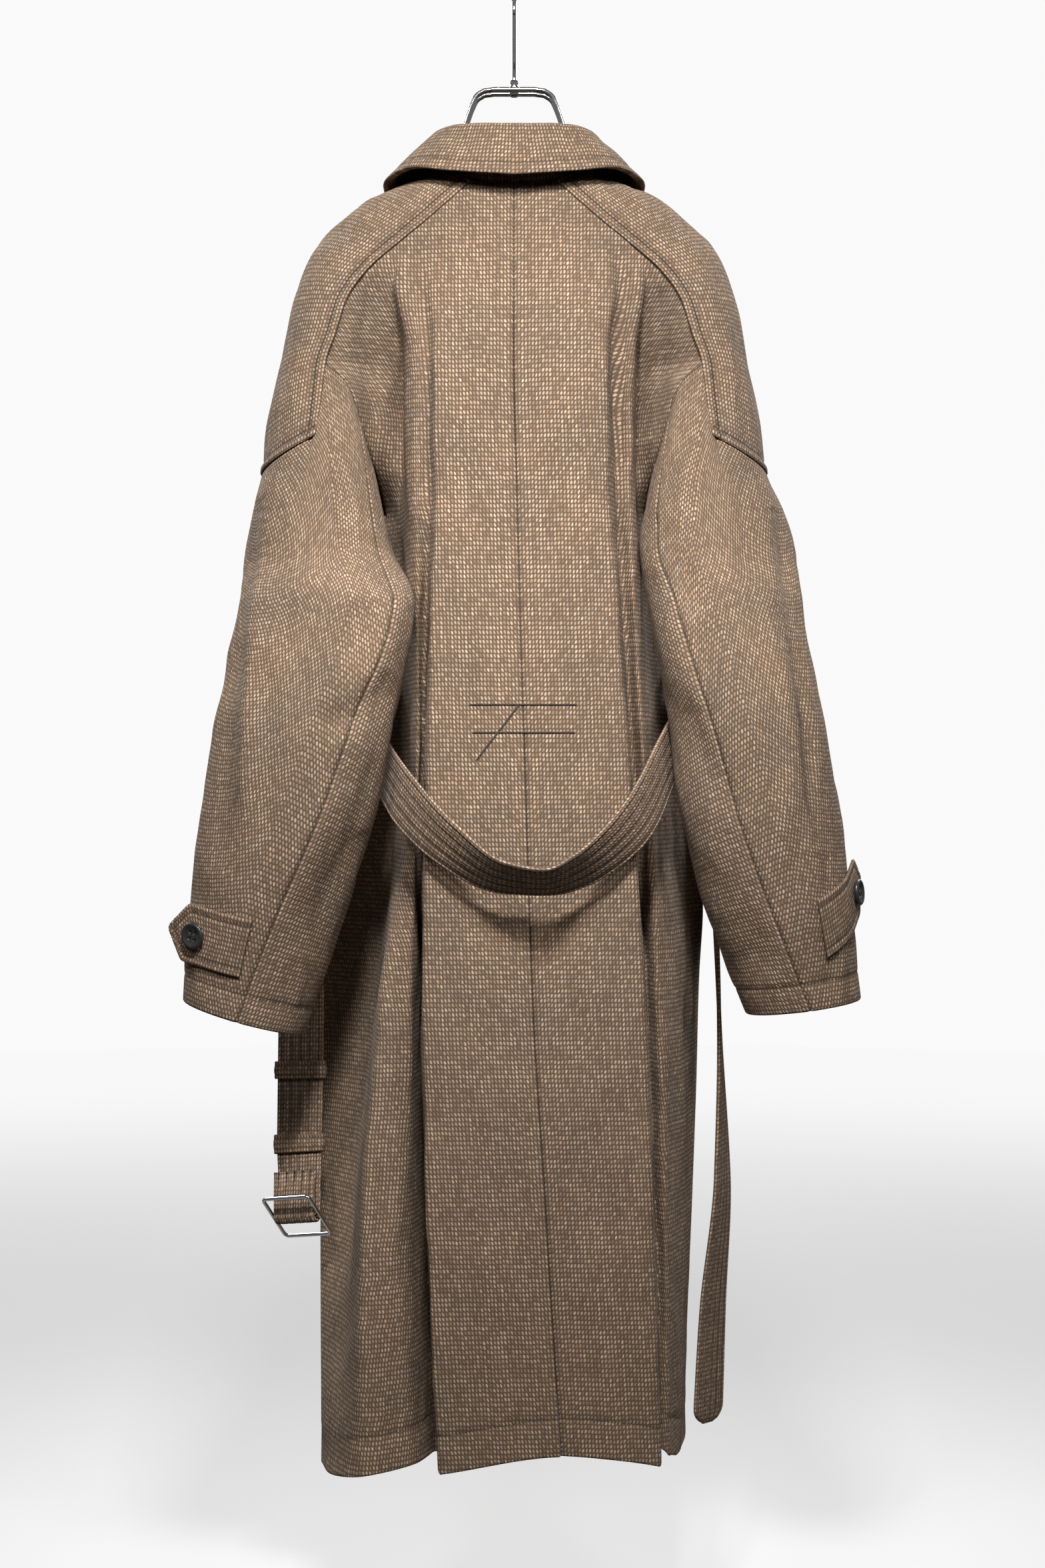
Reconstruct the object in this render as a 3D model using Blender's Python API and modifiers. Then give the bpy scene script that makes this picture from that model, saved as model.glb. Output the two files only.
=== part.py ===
"""Balmacaan coat on a chrome wire hanger, hung from a rail and seen from behind.

Metres, +Z up. The origin is the inside of the hook's bend, where the rail carries it.
-Y is the coat's back, +X is the wearer's right. Cloth pieces are thin walls: each is a grid
of points worked out from seams, fold lines and rings, with its thickness on the inside.
"""

import math
from collections import namedtuple

import bmesh
import bpy
import numpy as np
from mathutils import Matrix, Vector

# Cloth and seams
CLOTH = 0.002
BELT_THICKNESS = 0.004
SEAM_GAP = 0.0006
HALF_GAP = SEAM_GAP / 2
SEAM_KEY_STEPS = 20000
SMALL_SHARE = 1e-4
MERGE = 1e-5
MITRE_LIMIT = 0.4
LEFT, RIGHT = -1, 1
SIDE_NAMES = {LEFT: "left", RIGHT: "right"}

# Heights of the body's sections
NECK_BACK = -0.180
NECK_FRONT = -0.245
CHEST = -0.462
WAIST = -0.660
HIP = -0.900
KNEE = -1.080
HEM = -1.285
LEVELS = (CHEST, WAIST, HIP, KNEE, HEM)

# Raglan saddle, right side: a row for each station from the neck to its end on the arm.
# ridge is the top of the shoulder, back and front are its two long seams.
SADDLE_COLUMNS = (
    *("ridge_x", "ridge_y", "ridge_z"),
    *("back_x", "back_y", "back_z"),
    *("front_x", "front_y", "front_z"),
)
SADDLE = (
    (0.0640, 0.000, -0.1580, 0.0400, -0.064, -0.1750, 0.0450, 0.064, -0.2000),
    (0.0950, 0.000, -0.1670, 0.0740, -0.075, -0.2080, 0.0700, 0.072, -0.2260),
    (0.1270, 0.000, -0.1780, 0.1030, -0.078, -0.2330, 0.0980, 0.076, -0.2520),
    (0.1560, 0.000, -0.2015, 0.1300, -0.080, -0.2575, 0.1250, 0.078, -0.2750),
    (0.1785, -0.004, -0.2255, 0.1470, -0.082, -0.2820, 0.1430, 0.078, -0.2950),
    (0.1960, -0.010, -0.2700, 0.1575, -0.084, -0.3150, 0.1530, 0.073, -0.3220),
    (0.2095, -0.015, -0.3350, 0.1650, -0.085, -0.3370, 0.1600, 0.064, -0.3450),
    (0.2190, -0.018, -0.3850, 0.1690, -0.088, -0.3700, 0.1665, 0.054, -0.3730),
    (0.2235, -0.020, -0.4256, 0.1730, -0.090, -0.4010, 0.1740, 0.043, -0.4010),
)
SADDLE_AT_ARMHOLE = 6
SADDLE_END = len(SADDLE) - 1

# Armhole seam below the saddle, right side, from the saddle to the underarm
ARMHOLE_COLUMNS = ("back_x", "back_y", "back_z", "front_x", "front_y", "front_z")
ARMHOLE = (
    (0.1650, -0.085, -0.3370, 0.1600, 0.064, -0.3450),
    (0.1425, -0.083, -0.3580, 0.1450, 0.059, -0.3650),
    (0.1355, -0.076, -0.3780, 0.1370, 0.050, -0.3880),
    (0.1300, -0.064, -0.4000, 0.1300, 0.037, -0.4120),
    (0.1255, -0.048, -0.4200, 0.1240, 0.020, -0.4380),
    (0.1180, 0.000, -0.4620, 0.1180, 0.000, -0.4620),
)

# Centre back seam and vent edge: x and y at each height
CENTRE_BACK_COLUMNS = ("z", "x", "y")
CENTRE_BACK = (
    (HEM, 0.0397, -0.128),
    (-1.050, 0.0260, -0.129),
    (HIP, 0.0165, -0.127),
    (WAIST, 0.0085, -0.121),
    (CHEST, 0.0030, -0.113),
    (-0.330, 0.0000, -0.104),
    (-0.245, 0.0000, -0.089),
    (NECK_BACK, 0.0000, -0.070),
)

# Fold lines of the body, a row for each line from the centre to the side seam:
# x and y at the chest, waist, hip, knee and hem
BACK_FOLDS = {
    LEFT: {
        "panel_middle": (-0.034, -0.114, -0.034, -0.122, -0.030, -0.128, -0.022, -0.131, -0.014, -0.132),
        "panel_edge": (-0.066, -0.111, -0.0715, -0.119, -0.0755, -0.126, -0.0715, -0.131, -0.062, -0.136),
        "panel_valley": (-0.074, -0.098, -0.079, -0.060, -0.082, -0.022, -0.0775, -0.036, -0.068, -0.064),
        "ridge_inner": (-0.082, -0.102, -0.083, -0.080, -0.0895, -0.080, -0.0905, -0.084, -0.083, -0.098),
        "ridge_outer": (-0.092, -0.088, -0.089, -0.060, -0.1120, -0.084, -0.1265, -0.102, -0.128, -0.126),
        "recess": (-0.0985, -0.038, -0.103, 0.0065, -0.128, 0.015, -0.145, -0.006, -0.160, -0.088),
    },
    RIGHT: {
        "panel_middle": (0.042, -0.114, 0.050, -0.121, 0.062, -0.126, 0.072, -0.128, 0.082, -0.130),
        "panel_edge": (0.080, -0.109, 0.0955, -0.116, 0.111, -0.122, 0.1178, -0.125, 0.124, -0.128),
        "panel_valley": (0.091, -0.080, 0.1025, -0.060, 0.1175, -0.040, 0.124, -0.050, 0.1295, -0.066),
        "ridge_inner": (0.099, -0.083, 0.111, -0.076, 0.127, -0.060, 0.132, -0.063, 0.134, -0.066),
        "ridge_outer": (0.105, -0.070, 0.119, -0.050, 0.144, -0.036, 0.143, -0.042, 0.139, -0.052),
        "recess": (0.1085, -0.029, 0.132, 0.004, 0.160, 0.012, 0.157, -0.004, 0.145, -0.030),
    },
}
FRONT_FOLDS = {
    "panel": (0.040, 0.112, 0.044, 0.124, 0.048, 0.128, 0.049, 0.126, 0.050, 0.122),
    "valley": (0.070, 0.100, 0.080, 0.106, 0.088, 0.104, 0.090, 0.098, 0.090, 0.090),
    "crest": (0.096, 0.082, 0.112, 0.098, 0.126, 0.106, 0.128, 0.104, 0.128, 0.100),
    "flank": (0.113, 0.040, 0.142, 0.078, 0.163, 0.098, 0.162, 0.082, 0.158, 0.056),
}
CENTRE_FRONT_Y = (0.116, 0.128, 0.132, 0.130, 0.126)
CENTRE_FRONT_NECK_Y = 0.086
FRONT_OVERLAP = {LEFT: 0.040, RIGHT: 0.035}
FRONT_STEP = {LEFT: 0.0044, RIGHT: 0.0}
FRONT_STEP_FADE = (0.045, 0.095)
SIDE_SEAM = {
    LEFT: ((-0.118, 0.000), (-0.148, 0.045), (-0.170, 0.070), (-0.169, 0.046), (-0.167, -0.045)),
    RIGHT: ((0.118, 0.000), (0.148, 0.045), (0.170, 0.058), (0.163, 0.036), (0.149, -0.004)),
}

# Back vent: the left panel laps over the right one below the stitched tack
VENT_TOP = -0.655
VENT_STEP = 0.0028
VENT_UNDERLAP = 0.055
VENT_SLANT = 0.055
VENT_SHORTEST = 0.12
VENT_EASE = 0.02
VENT_SINK_WIDTH = 0.05
COVER_STEPS = 8

# How the folds come in below the neck, and how the neck's slope runs out along the raglan
FOLD_SHARE_LIMITS = (0.05, 0.95)
FOLDS_SETTLE_X = (0.0, 0.15)
FOLDS_SETTLE_Y = (0.05, 0.21)
NECK_SLOPE_BACK = 0.5
NECK_SLOPE_FRONT = 0.6

# Sleeve rings from the underarm to the cuff. turn tips the ring's long axis towards the back,
# fall is how much lower the body side of the ring hangs.
Ring = namedtuple("Ring", "z x y half_length half_depth turn_degrees fall")
SLEEVE_TABLE = {
    LEFT: (
        (-0.500, -0.1705, -0.046, 0.070, 0.058, 36, 0.000),
        (-0.548, -0.1630, -0.084, 0.083, 0.054, 26, 0.000),
        (-0.660, -0.1815, -0.099, 0.080, 0.055, 18, 0.000),
        (-0.720, -0.1920, -0.094, 0.077, 0.056, 12, 0.000),
        (-0.797, -0.2096, -0.082, 0.070, 0.057, 8, 0.003),
        (-0.855, -0.2237, -0.072, 0.062, 0.055, 4, 0.008),
        (-0.906, -0.2350, -0.066, 0.053, 0.053, 0, 0.015),
    ),
    RIGHT: (
        (-0.500, 0.1800, -0.046, 0.070, 0.058, 36, 0.000),
        (-0.548, 0.1850, -0.064, 0.068, 0.062, 22, 0.000),
        (-0.660, 0.2033, -0.084, 0.068, 0.060, 14, 0.000),
        (-0.720, 0.2120, -0.082, 0.069, 0.060, 10, 0.000),
        (-0.797, 0.2268, -0.074, 0.065, 0.058, 6, 0.000),
        (-0.855, 0.2410, -0.066, 0.057, 0.055, 4, 0.004),
        (-0.897, 0.2530, -0.060, 0.050, 0.052, 0, 0.007),
    ),
}
SLEEVE_RINGS = {side: [Ring(*row) for row in rows] for side, rows in SLEEVE_TABLE.items()}
SLEEVE_TOP = CHEST + 0.03
# Turn of the ring, in parts of a circle from the outer arm round the back, where the cap's points lie
CAP_TURNS_BACK = (0.30, 0.355, 0.41, 0.47, 0.53, 0.615)
CAP_TURNS_FRONT = (0.735, 0.71, 0.685, 0.66, 0.64, 0.615)
CAP_CORNER_BACK, CAP_CORNER_FRONT = 0.20, 0.82
BACK_SEAM_TURNS = (0.41, 0.25)
FRONT_SEAM_TURNS = (0.66, 0.70)
CAP_END_STEPS = 5

# Collar: rings at the neck seam, the fold and the fall's edge, a row for each angle from centre back
COLLAR_COLUMNS = (
    "degrees",
    *("base_x", "base_y", "base_z"),
    *("fold_x", "fold_y", "fold_z"),
    *("edge_x", "edge_y", "edge_z"),
)
COLLAR = (
    (0, 0.0000, -0.0680, -0.1785, 0.0000, -0.0700, -0.1320, 0.0000, -0.0930, -0.1780),
    (35, 0.0385, -0.0620, -0.1735, 0.0420, -0.0600, -0.1290, 0.0600, -0.0820, -0.1710),
    (65, 0.0575, -0.0340, -0.1630, 0.0650, -0.0310, -0.1265, 0.0980, -0.0500, -0.1620),
    (90, 0.0625, 0.0000, -0.1565, 0.0715, 0.0020, -0.1275, 0.1185, -0.0020, -0.1650),
    (120, 0.0560, 0.0400, -0.1770, 0.0650, 0.0420, -0.1480, 0.1120, 0.0560, -0.1900),
    (150, 0.0320, 0.0720, -0.2160, 0.0400, 0.0760, -0.1880, 0.0880, 0.1080, -0.2300),
    (172, 0.0080, 0.0850, -0.2400, 0.0110, 0.0930, -0.2120, 0.0560, 0.1420, -0.2700),
)
COLLAR_ROLL = 0.003
COLLAR_ROLL_DROP = 0.0012
COLLAR_BELLY = 0.0015
COLLAR_SHOULDER_OUT, COLLAR_SHOULDER_DROP = 0.005, 0.002
STAND_TOP_GAP = 0.0057

# Cuff tabs and buttons
TAB_WIDTH = 0.050
TAB_LIE = 0.0006
TAB_POINT = 0.018
TAB_TAPER = 0.9
TAB_FREE_SHARES = (0.35, 0.7, 1.0)
Tab = namedtuple("Tab", "turn leaves height free_length rise")
TABS = {LEFT: Tab(0.235, 0.150, -0.842, 0.046, 0.007), RIGHT: Tab(0.175, 0.050, -0.826, 0.044, 0.022)}
SKIN_FROM = 0.4
SKIN_STEPS = 40
SKIN_STEP = 0.015
BUTTON_DIAMETER = 0.023
BUTTON_THICKNESS = 0.004
# Button profile from its back to its dished face: shares of its radius and of its thickness
BUTTON_PROFILE = ((0, 0), (0.8, 0), (1, 0.5), (0.92, 1), (0.72, 1), (0.6, 0.7), (0, 0.7))

# Belt: its middle line from the tail to the buckle, and the way its width points
BELT_WIDTH = 0.046
BELT_COLUMNS = ("x", "y", "z", "width_x", "width_y", "width_z")
BELT = (
    (0.1760, 0.022, -1.284, 0.62, 0.78, 0.05),
    (0.1810, 0.026, -1.180, 0.55, 0.83, 0.02),
    (0.1900, 0.030, -1.060, 0.35, 0.93, 0.00),
    (0.1880, 0.036, -0.930, 0.10, 0.99, 0.00),
    (0.1840, 0.052, -0.800, 0.02, 1.00, 0.05),
    (0.1745, 0.088, -0.705, -0.05, 0.98, 0.20),
    (0.1660, 0.082, -0.655, -0.05, 0.60, 0.80),
    (0.1528, 0.042, -0.636, 0.00, 0.05, 1.00),
    (0.1480, -0.020, -0.652, -0.05, 0.00, 1.00),
    (0.1290, -0.082, -0.690, -0.20, -0.15, 0.95),
    (0.1030, -0.135, -0.735, -0.35, -0.45, 0.80),
    (0.0520, -0.158, -0.776, -0.22, -0.78, 0.58),
    (0.0250, -0.165, -0.784, 0.00, -0.86, 0.50),
    (-0.0100, -0.162, -0.780, 0.15, -0.80, 0.58),
    (-0.0570, -0.149, -0.752, 0.30, -0.55, 0.78),
    (-0.0920, -0.117, -0.718, 0.28, -0.25, 0.92),
    (-0.1130, -0.066, -0.690, 0.15, -0.10, 0.97),
    (-0.1380, -0.006, -0.655, 0.05, 0.00, 1.00),
    (-0.1537, 0.042, -0.636, 0.00, 0.05, 1.00),
    (-0.1680, 0.084, -0.655, 0.05, 0.60, 0.80),
    (-0.1800, 0.086, -0.705, -0.05, 0.98, 0.20),
    (-0.1900, 0.060, -0.780, -0.35, 0.93, 0.05),
    (-0.1930, 0.038, -0.850, -0.80, 0.60, 0.02),
    (-0.1945, 0.026, -0.930, -0.92, 0.38, 0.02),
    (-0.1945, 0.012, -1.020, -0.90, 0.42, 0.06),
    (-0.1930, 0.000, -1.072, -0.80, 0.58, 0.18),
)
# The end turns up round the buckle's bar, on the side that faces away from the body
BELT_TURN_RADIUS = 0.0042
BELT_TURN_DROP = 0.020
BELT_TURN_UP = 0.040
BELT_CORE = (0.0, 0.0, -0.7)
KEEPER_HEIGHT = 0.016
KEEPER_CLEARANCE = 0.0013
KEEPER_ROUND = 0.9
KEEPER_SEARCH = (0.8, 1.0)
KEEPER_SEARCH_STEPS = 800
KEEPER_PLACES = {"upper": -0.963, "lower": -1.028}
LOOP_TOP, LOOP_BOTTOM = -0.592, -0.680
LOOP_WIDTH = 0.012
LOOP_REACH = 0.0145
LOOP_SEAT = -0.0004
LOOP_BEND = 0.14

# Buckle: a rectangular frame turning on its middle bar
BUCKLE_WIDTH = 0.056
BUCKLE_HEIGHT = 0.049
BUCKLE_WIRE = 0.0034
BUCKLE_BAR = 0.0032
BUCKLE_CORNER = 0.004
BUCKLE_TILT = math.radians(46)

# Hanger
WIRE = 0.0045
HANGER_SPREAD = 0.014
HANGER_ARM_CLEARANCE = 0.0022
HANGER_STATIONS = (0.6, 3.6)
HANGER_LOOK_AHEAD = 0.05
YOKE_TOP = -0.0800
YOKE_HALF_WIDTH = 0.018
# One leg of the yoke, from the shoulder arm inside the collar up to the top bar: x and z
YOKE_LEG = (
    (0.0690, -0.1668),
    (0.0610, -0.1650),
    (0.0560, -0.1580),
    (0.0530, -0.1450),
    (0.0480, -0.1250),
    (0.0420, -0.1050),
    (0.0375, -0.0930),
    (0.0335, -0.0855),
    (0.0270, -0.0812),
)
RAIL_RADIUS = 0.009
HOOK_WIRE = 0.0042
# The hook's stem from the yoke up to its bend: y and z
HOOK_STEM = ((0.0, YOKE_TOP - WIRE / 2), (0.0, YOKE_TOP + 0.012), (-0.004, -0.052), (-0.0089, -0.034))
HOOK_START = 0.5
HOOK_SWEEP = math.pi + 1.2
BOSS_LOW, BOSS_SHOULDER, BOSS_TOP = -0.0045, 0.004, 0.010
BOSS_NECK = 0.75

# Steps of the grids and arcs
SPAN_STEPS = 2
SEAM_ROWS = 10
VENT_ROWS, VENT_COLUMNS = 10, 4
COLLAR_SPOKES = 23
STAND_STEPS, FALL_STEPS = 3, 7
TAB_ROWS, TAB_LINES = 8, 5
BELT_STEPS, BELT_TURN_STEPS = 58, 7
LOOP_STEPS = 13
CORNER_STEPS = 4
SPIN_STEPS = 24
ARM_STEPS, ARM_END_STEPS = 10, 7
HOOK_STEPS = 18
SLEEVE_ROWS = (0, 0.08, 0.18, 0.28, 0.383, 0.486, 0.589, 0.691, 0.794, 0.897, 1)

CLOTH_BROWN = (0.27, 0.19, 0.13)
CHROME_GREY = (0.80, 0.81, 0.82)
BUTTON_BLACK = (0.012, 0.012, 0.016)


def columns(table, names, wanted):
    """The wanted columns of a table, as an array with a row for each row of the table."""
    return np.array([[row[names.index(name)] for name in wanted] for row in table], float)


def glide(knots, values, at):
    """Smooth curve through the values at rising knots, with no overshoot between them."""
    knots = np.asarray(knots, float)
    values = np.asarray(values, float).reshape(len(knots), -1)
    step = np.diff(knots)[:, None]
    slope = np.diff(values, axis=0) / step
    tangent = np.zeros_like(values)
    tangent[0], tangent[-1] = slope[0], slope[-1]
    if len(knots) > 2:
        before, after = slope[:-1], slope[1:]
        near, far = 2 * step[1:] + step[:-1], step[1:] + 2 * step[:-1]
        same_way = before * after > 0
        safe_before = np.where(same_way, before, 1)
        safe_after = np.where(same_way, after, 1)
        tangent[1:-1] = np.where(same_way, (near + far) / (near / safe_before + far / safe_after), 0)
    at = np.atleast_1d(np.asarray(at, float))
    cell = np.clip(np.searchsorted(knots, at, side="right") - 1, 0, len(step) - 1)
    width = step[cell]
    t = ((at - knots[cell])[:, None]) / width
    low, high = values[cell], values[cell + 1]
    return (
        (1 + 2 * t) * (1 - t) ** 2 * low
        + t * (1 - t) ** 2 * width * tangent[cell]
        + t**2 * (3 - 2 * t) * high
        + t**2 * (t - 1) * width * tangent[cell + 1]
    )


def glide_along(points, shares):
    """Smooth curve through points, read at shares of the number of spans between them."""
    return glide(np.arange(len(points)), points, np.asarray(shares, float) * (len(points) - 1))


def smoothstep(low, high, value):
    t = np.clip((value - low) / (high - low), 0, 1)
    return t * t * (3 - 2 * t)


def mirrored(points, side):
    return np.asarray(points, float) * np.array([side, 1, 1])


def saddle_curve(line, side, stations):
    """Points of the saddle's ridge, back or front line at stations along it."""
    table = columns(SADDLE, SADDLE_COLUMNS, [f"{line}_{axis}" for axis in "xyz"])
    return mirrored(glide(np.arange(len(SADDLE)), table, stations), side)


def edge_path(side, face, path):
    """The body panel's outer edge: path 0 to 1 is the raglan, 1 to 2 the armhole, 2 to 3 the side seam."""
    path = np.asarray(path, float)
    raglan = saddle_curve(face, side, np.clip(path, 0, 1) * SADDLE_AT_ARMHOLE)
    hole = columns(ARMHOLE, ARMHOLE_COLUMNS, [f"{face}_{axis}" for axis in "xyz"])
    armhole = mirrored(glide_along(hole, np.clip(path - 1, 0, 1)), side)
    heights = CHEST + (HEM - CHEST) * np.clip(path - 2, 0, 1)
    seam = glide(-np.array(LEVELS), SIDE_SEAM[side], -heights)
    side_seam = np.column_stack([seam, heights])
    return np.where((path <= 1)[:, None], raglan, np.where((path <= 2)[:, None], armhole, side_seam))


def edge_at(side, height):
    """The side seam's point at one height below the chest."""
    return edge_path(side, "back", [2 + (height - CHEST) / (HEM - CHEST)])[0]


def centre_back(heights):
    knots = columns(CENTRE_BACK, CENTRE_BACK_COLUMNS, ["z"])[:, 0]
    return glide(knots, columns(CENTRE_BACK, CENTRE_BACK_COLUMNS, ["x", "y"]), heights)


def spread(points, per_span):
    """A smooth section through its points, with the same number of steps in each span."""
    chord = np.concatenate([[0], np.cumsum(np.linalg.norm(np.diff(points, axis=0), axis=1))])
    spans = [np.linspace(low, high, per_span, endpoint=False) for low, high in zip(chord, chord[1:])]
    return glide(chord, points, np.concatenate(spans + [chord[-1:]]))


def fold_points(folds, height):
    """x and y of each fold line at a height, kept as they are at the chest above it."""
    rows = np.array(list(folds.values()), float).reshape(len(folds), len(LEVELS), 2)
    by_level = rows.transpose(1, 0, 2).reshape(len(LEVELS), -1)
    return glide(-np.array(LEVELS), by_level, -max(min(height, CHEST), HEM))[0].reshape(-1, 2)


def body_section(start, edge, folds, height, neck):
    """Section of a panel at one height: its start at the centre, its fold lines and its edge."""
    lines = fold_points(folds, height)
    if height > CHEST:
        at_chest = np.abs(lines[:, 0]) / ARMHOLE[-1][0]
        share = np.clip(at_chest, *FOLD_SHARE_LIMITS)[:, None]
        straight = start[:2] + (edge[:2] - start[:2]) * share
        settle_x = smoothstep(neck - FOLDS_SETTLE_X[0], neck - FOLDS_SETTLE_X[1], height)
        settle_y = smoothstep(neck - FOLDS_SETTLE_Y[0], neck - FOLDS_SETTLE_Y[1], height)
        lines = np.column_stack(
            [
                straight[:, 0] + (lines[:, 0] - straight[:, 0]) * settle_x,
                straight[:, 1] + (lines[:, 1] - straight[:, 1]) * settle_y,
            ]
        )
    flat = np.vstack([start[:2], lines, edge[:2]])
    share = np.linspace(0, 1, len(flat))
    return np.column_stack([flat, start[2] + (edge[2] - start[2]) * share])


def back_panel(side, paths, per_span):
    """Rows of a back panel from the centre back to its outer edge."""
    rows = []
    neck_rise = NECK_BACK - columns(SADDLE, SADDLE_COLUMNS, ["back_z"])[0, 0]
    for edge, path in zip(edge_path(side, "back", paths), paths):
        z = edge[2] + neck_rise * (1 - smoothstep(0, NECK_SLOPE_BACK, path))
        x, y = centre_back([z])[0]
        row = spread(body_section(np.array([x, y, z]), edge, BACK_FOLDS[side], z, NECK_BACK), per_span)
        if side == RIGHT:
            below_tack = smoothstep(VENT_TOP + VENT_EASE, VENT_TOP - VENT_EASE, z)
            row[:, 1] += VENT_STEP * below_tack * (1 - smoothstep(0, VENT_SINK_WIDTH, row[:, 0] - x))
        rows.append(row)
    return np.array(rows)


def vent_underlap(heights, across):
    """The strip that runs on from the right panel's edge, under the left panel."""
    rows = []
    for z in heights:
        x, y = centre_back([z])[0]
        reach = VENT_UNDERLAP * min(1, max(VENT_SHORTEST, (VENT_TOP - z) / VENT_SLANT))
        cover = body_section(np.array([x, y, z]), edge_at(LEFT, z), BACK_FOLDS[LEFT], z, NECK_BACK)
        cover = spread(cover, COVER_STEPS)
        xs = x - reach * np.asarray(across, float)
        ys = np.interp(-xs, -cover[:, 0], cover[:, 1]) + VENT_STEP
        rows.append(np.column_stack([xs, ys, np.full(len(xs), z)]))
    return np.array(rows)


def front_panel(side, paths, per_span):
    """Rows of a front panel, from its lap over the centre front to its outer edge."""
    rows = []
    flip = np.tile((side, 1), len(LEVELS))
    folds = {name: np.array(row) * flip for name, row in FRONT_FOLDS.items()}
    neck_rise = NECK_FRONT - columns(SADDLE, SADDLE_COLUMNS, ["front_z"])[0, 0]
    for edge, path in zip(edge_path(side, "front", paths), paths):
        z = edge[2] + neck_rise * (1 - smoothstep(0, NECK_SLOPE_FRONT, path))
        y = glide(-np.array(LEVELS), CENTRE_FRONT_Y, -max(min(z, CHEST), HEM))[0, 0]
        y += (CENTRE_FRONT_NECK_Y - CENTRE_FRONT_Y[0]) * smoothstep(CHEST, NECK_FRONT, z)
        section = body_section(np.array([0.0, y, z]), edge, folds, z, NECK_FRONT)
        across = side * section[:, 0]
        reach = FRONT_OVERLAP[side]
        lap_y, lap_z = (np.interp(reach, across, section[:, axis]) for axis in (1, 2))
        row = spread(np.vstack([(-side * reach, lap_y, lap_z), section]), per_span)
        row[:, 1] += FRONT_STEP[side] * (1 - smoothstep(*FRONT_STEP_FADE, side * row[:, 0]))
        rows.append(row)
    return np.array(rows)


def saddle_panel(side, stations, around):
    """Rows along the saddle, each from the back seam over the ridge to the front seam."""
    ridge = saddle_curve("ridge", side, stations)
    seams = {line: saddle_curve(line, side, stations) for line in ("back", "front")}
    rows = []
    for i in range(len(stations)):
        row = []
        for turn in around:
            seam = seams["back" if turn < 0 else "front"][i]
            row.append(quarter_round(seam, ridge[i], abs(turn)))
        rows.append(row)
    return np.array(rows)


def quarter_round(seam, ridge, share):
    """A point on the quarter round from the ridge, at share 0, to the seam, at share 1."""
    across, up = math.sin(share * math.pi / 2), math.cos(share * math.pi / 2)
    return np.array(
        (
            seam[0] + (ridge[0] - seam[0]) * up,
            ridge[1] + (seam[1] - ridge[1]) * across,
            seam[2] + (ridge[2] - seam[2]) * up,
        )
    )


def cap_point(side, turns):
    """Top edge of the sleeve: the saddle's end, its corners and the armhole, by turn round the arm."""
    tip = saddle_curve("ridge", RIGHT, [SADDLE_END])[0]
    beyond_armhole = SADDLE_AT_ARMHOLE - SADDLE_END
    found = []
    for turn in np.asarray(turns, float) % 1.0:
        behind = turn <= CAP_TURNS_BACK[-1]
        face = "back" if behind else "front"
        corner_turn = CAP_CORNER_BACK if behind else 1 - CAP_CORNER_FRONT
        from_tip = turn if behind else 1 - turn
        cap_turns = CAP_TURNS_BACK if behind else [1 - t for t in CAP_TURNS_FRONT]
        if from_tip <= corner_turn:
            corner = saddle_curve(face, RIGHT, [SADDLE_END])[0]
            found.append(quarter_round(corner, tip, from_tip / corner_turn))
        elif from_tip < cap_turns[0]:
            share = (from_tip - corner_turn) / (cap_turns[0] - corner_turn)
            found.append(saddle_curve(face, RIGHT, [SADDLE_END + beyond_armhole * share])[0])
        else:
            hole = columns(ARMHOLE, ARMHOLE_COLUMNS, [f"{face}_{axis}" for axis in "xyz"])
            share = np.interp(from_tip, cap_turns, np.linspace(0, 1, len(cap_turns)))
            found.append(glide_along(hole, [share])[0])
    return mirrored(found, side)


def ring_points(side, ring, turns):
    """Points of one sleeve ring, an ellipse whose outer end is tipped towards the front."""
    tip = math.radians(ring.turn_degrees)
    angle = 2 * math.pi * np.asarray(turns, float) + tip
    out, back = ring.half_length * np.cos(angle), ring.half_depth * np.sin(angle)
    dx = out * math.cos(tip) + back * math.sin(tip)
    dy = out * math.sin(tip) - back * math.cos(tip)
    return np.column_stack([ring.x + side * dx, ring.y + dy, ring.z + ring.fall * np.cos(angle - tip)])


def sleeve_points(side, turns, downs):
    """Points of a sleeve, each by its turn round the arm and its share of the way from cap to cuff."""
    turns, downs = np.asarray(turns, float), np.asarray(downs, float)
    rings = [cap_point(side, turns)] + [ring_points(side, ring, turns) for ring in SLEEVE_RINGS[side]]
    heights = np.array([SLEEVE_TOP] + [ring.z for ring in SLEEVE_RINGS[side]])
    knots = (SLEEVE_TOP - heights) / (SLEEVE_TOP - heights[-1])
    return np.array([glide(knots, [ring[i] for ring in rings], [down])[0] for i, down in enumerate(downs)])


def sleeve_piece(side, first_seam, last_seam, shares, downs):
    """Rows down a sleeve piece between two seams, each given by its turn at the cap and at the cuff."""
    rows = []
    for down in downs:
        low = first_seam[0] + (first_seam[1] - first_seam[0]) * down
        high = last_seam[0] + (last_seam[1] - last_seam[0]) * down
        turns = low + (high - low) * np.asarray(shares, float)
        rows.append(sleeve_points(side, turns, np.full(len(turns), down)))
    return np.array(rows)


def collar_ring(name, degrees):
    table = columns(COLLAR, COLLAR_COLUMNS, [f"{name}_{axis}" for axis in "xyz"])
    knots = [row[0] for row in COLLAR]
    degrees = np.asarray(degrees, float)
    ring = glide(knots, table, np.abs(degrees))
    ring[:, 0] *= np.sign(degrees)
    return ring


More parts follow.
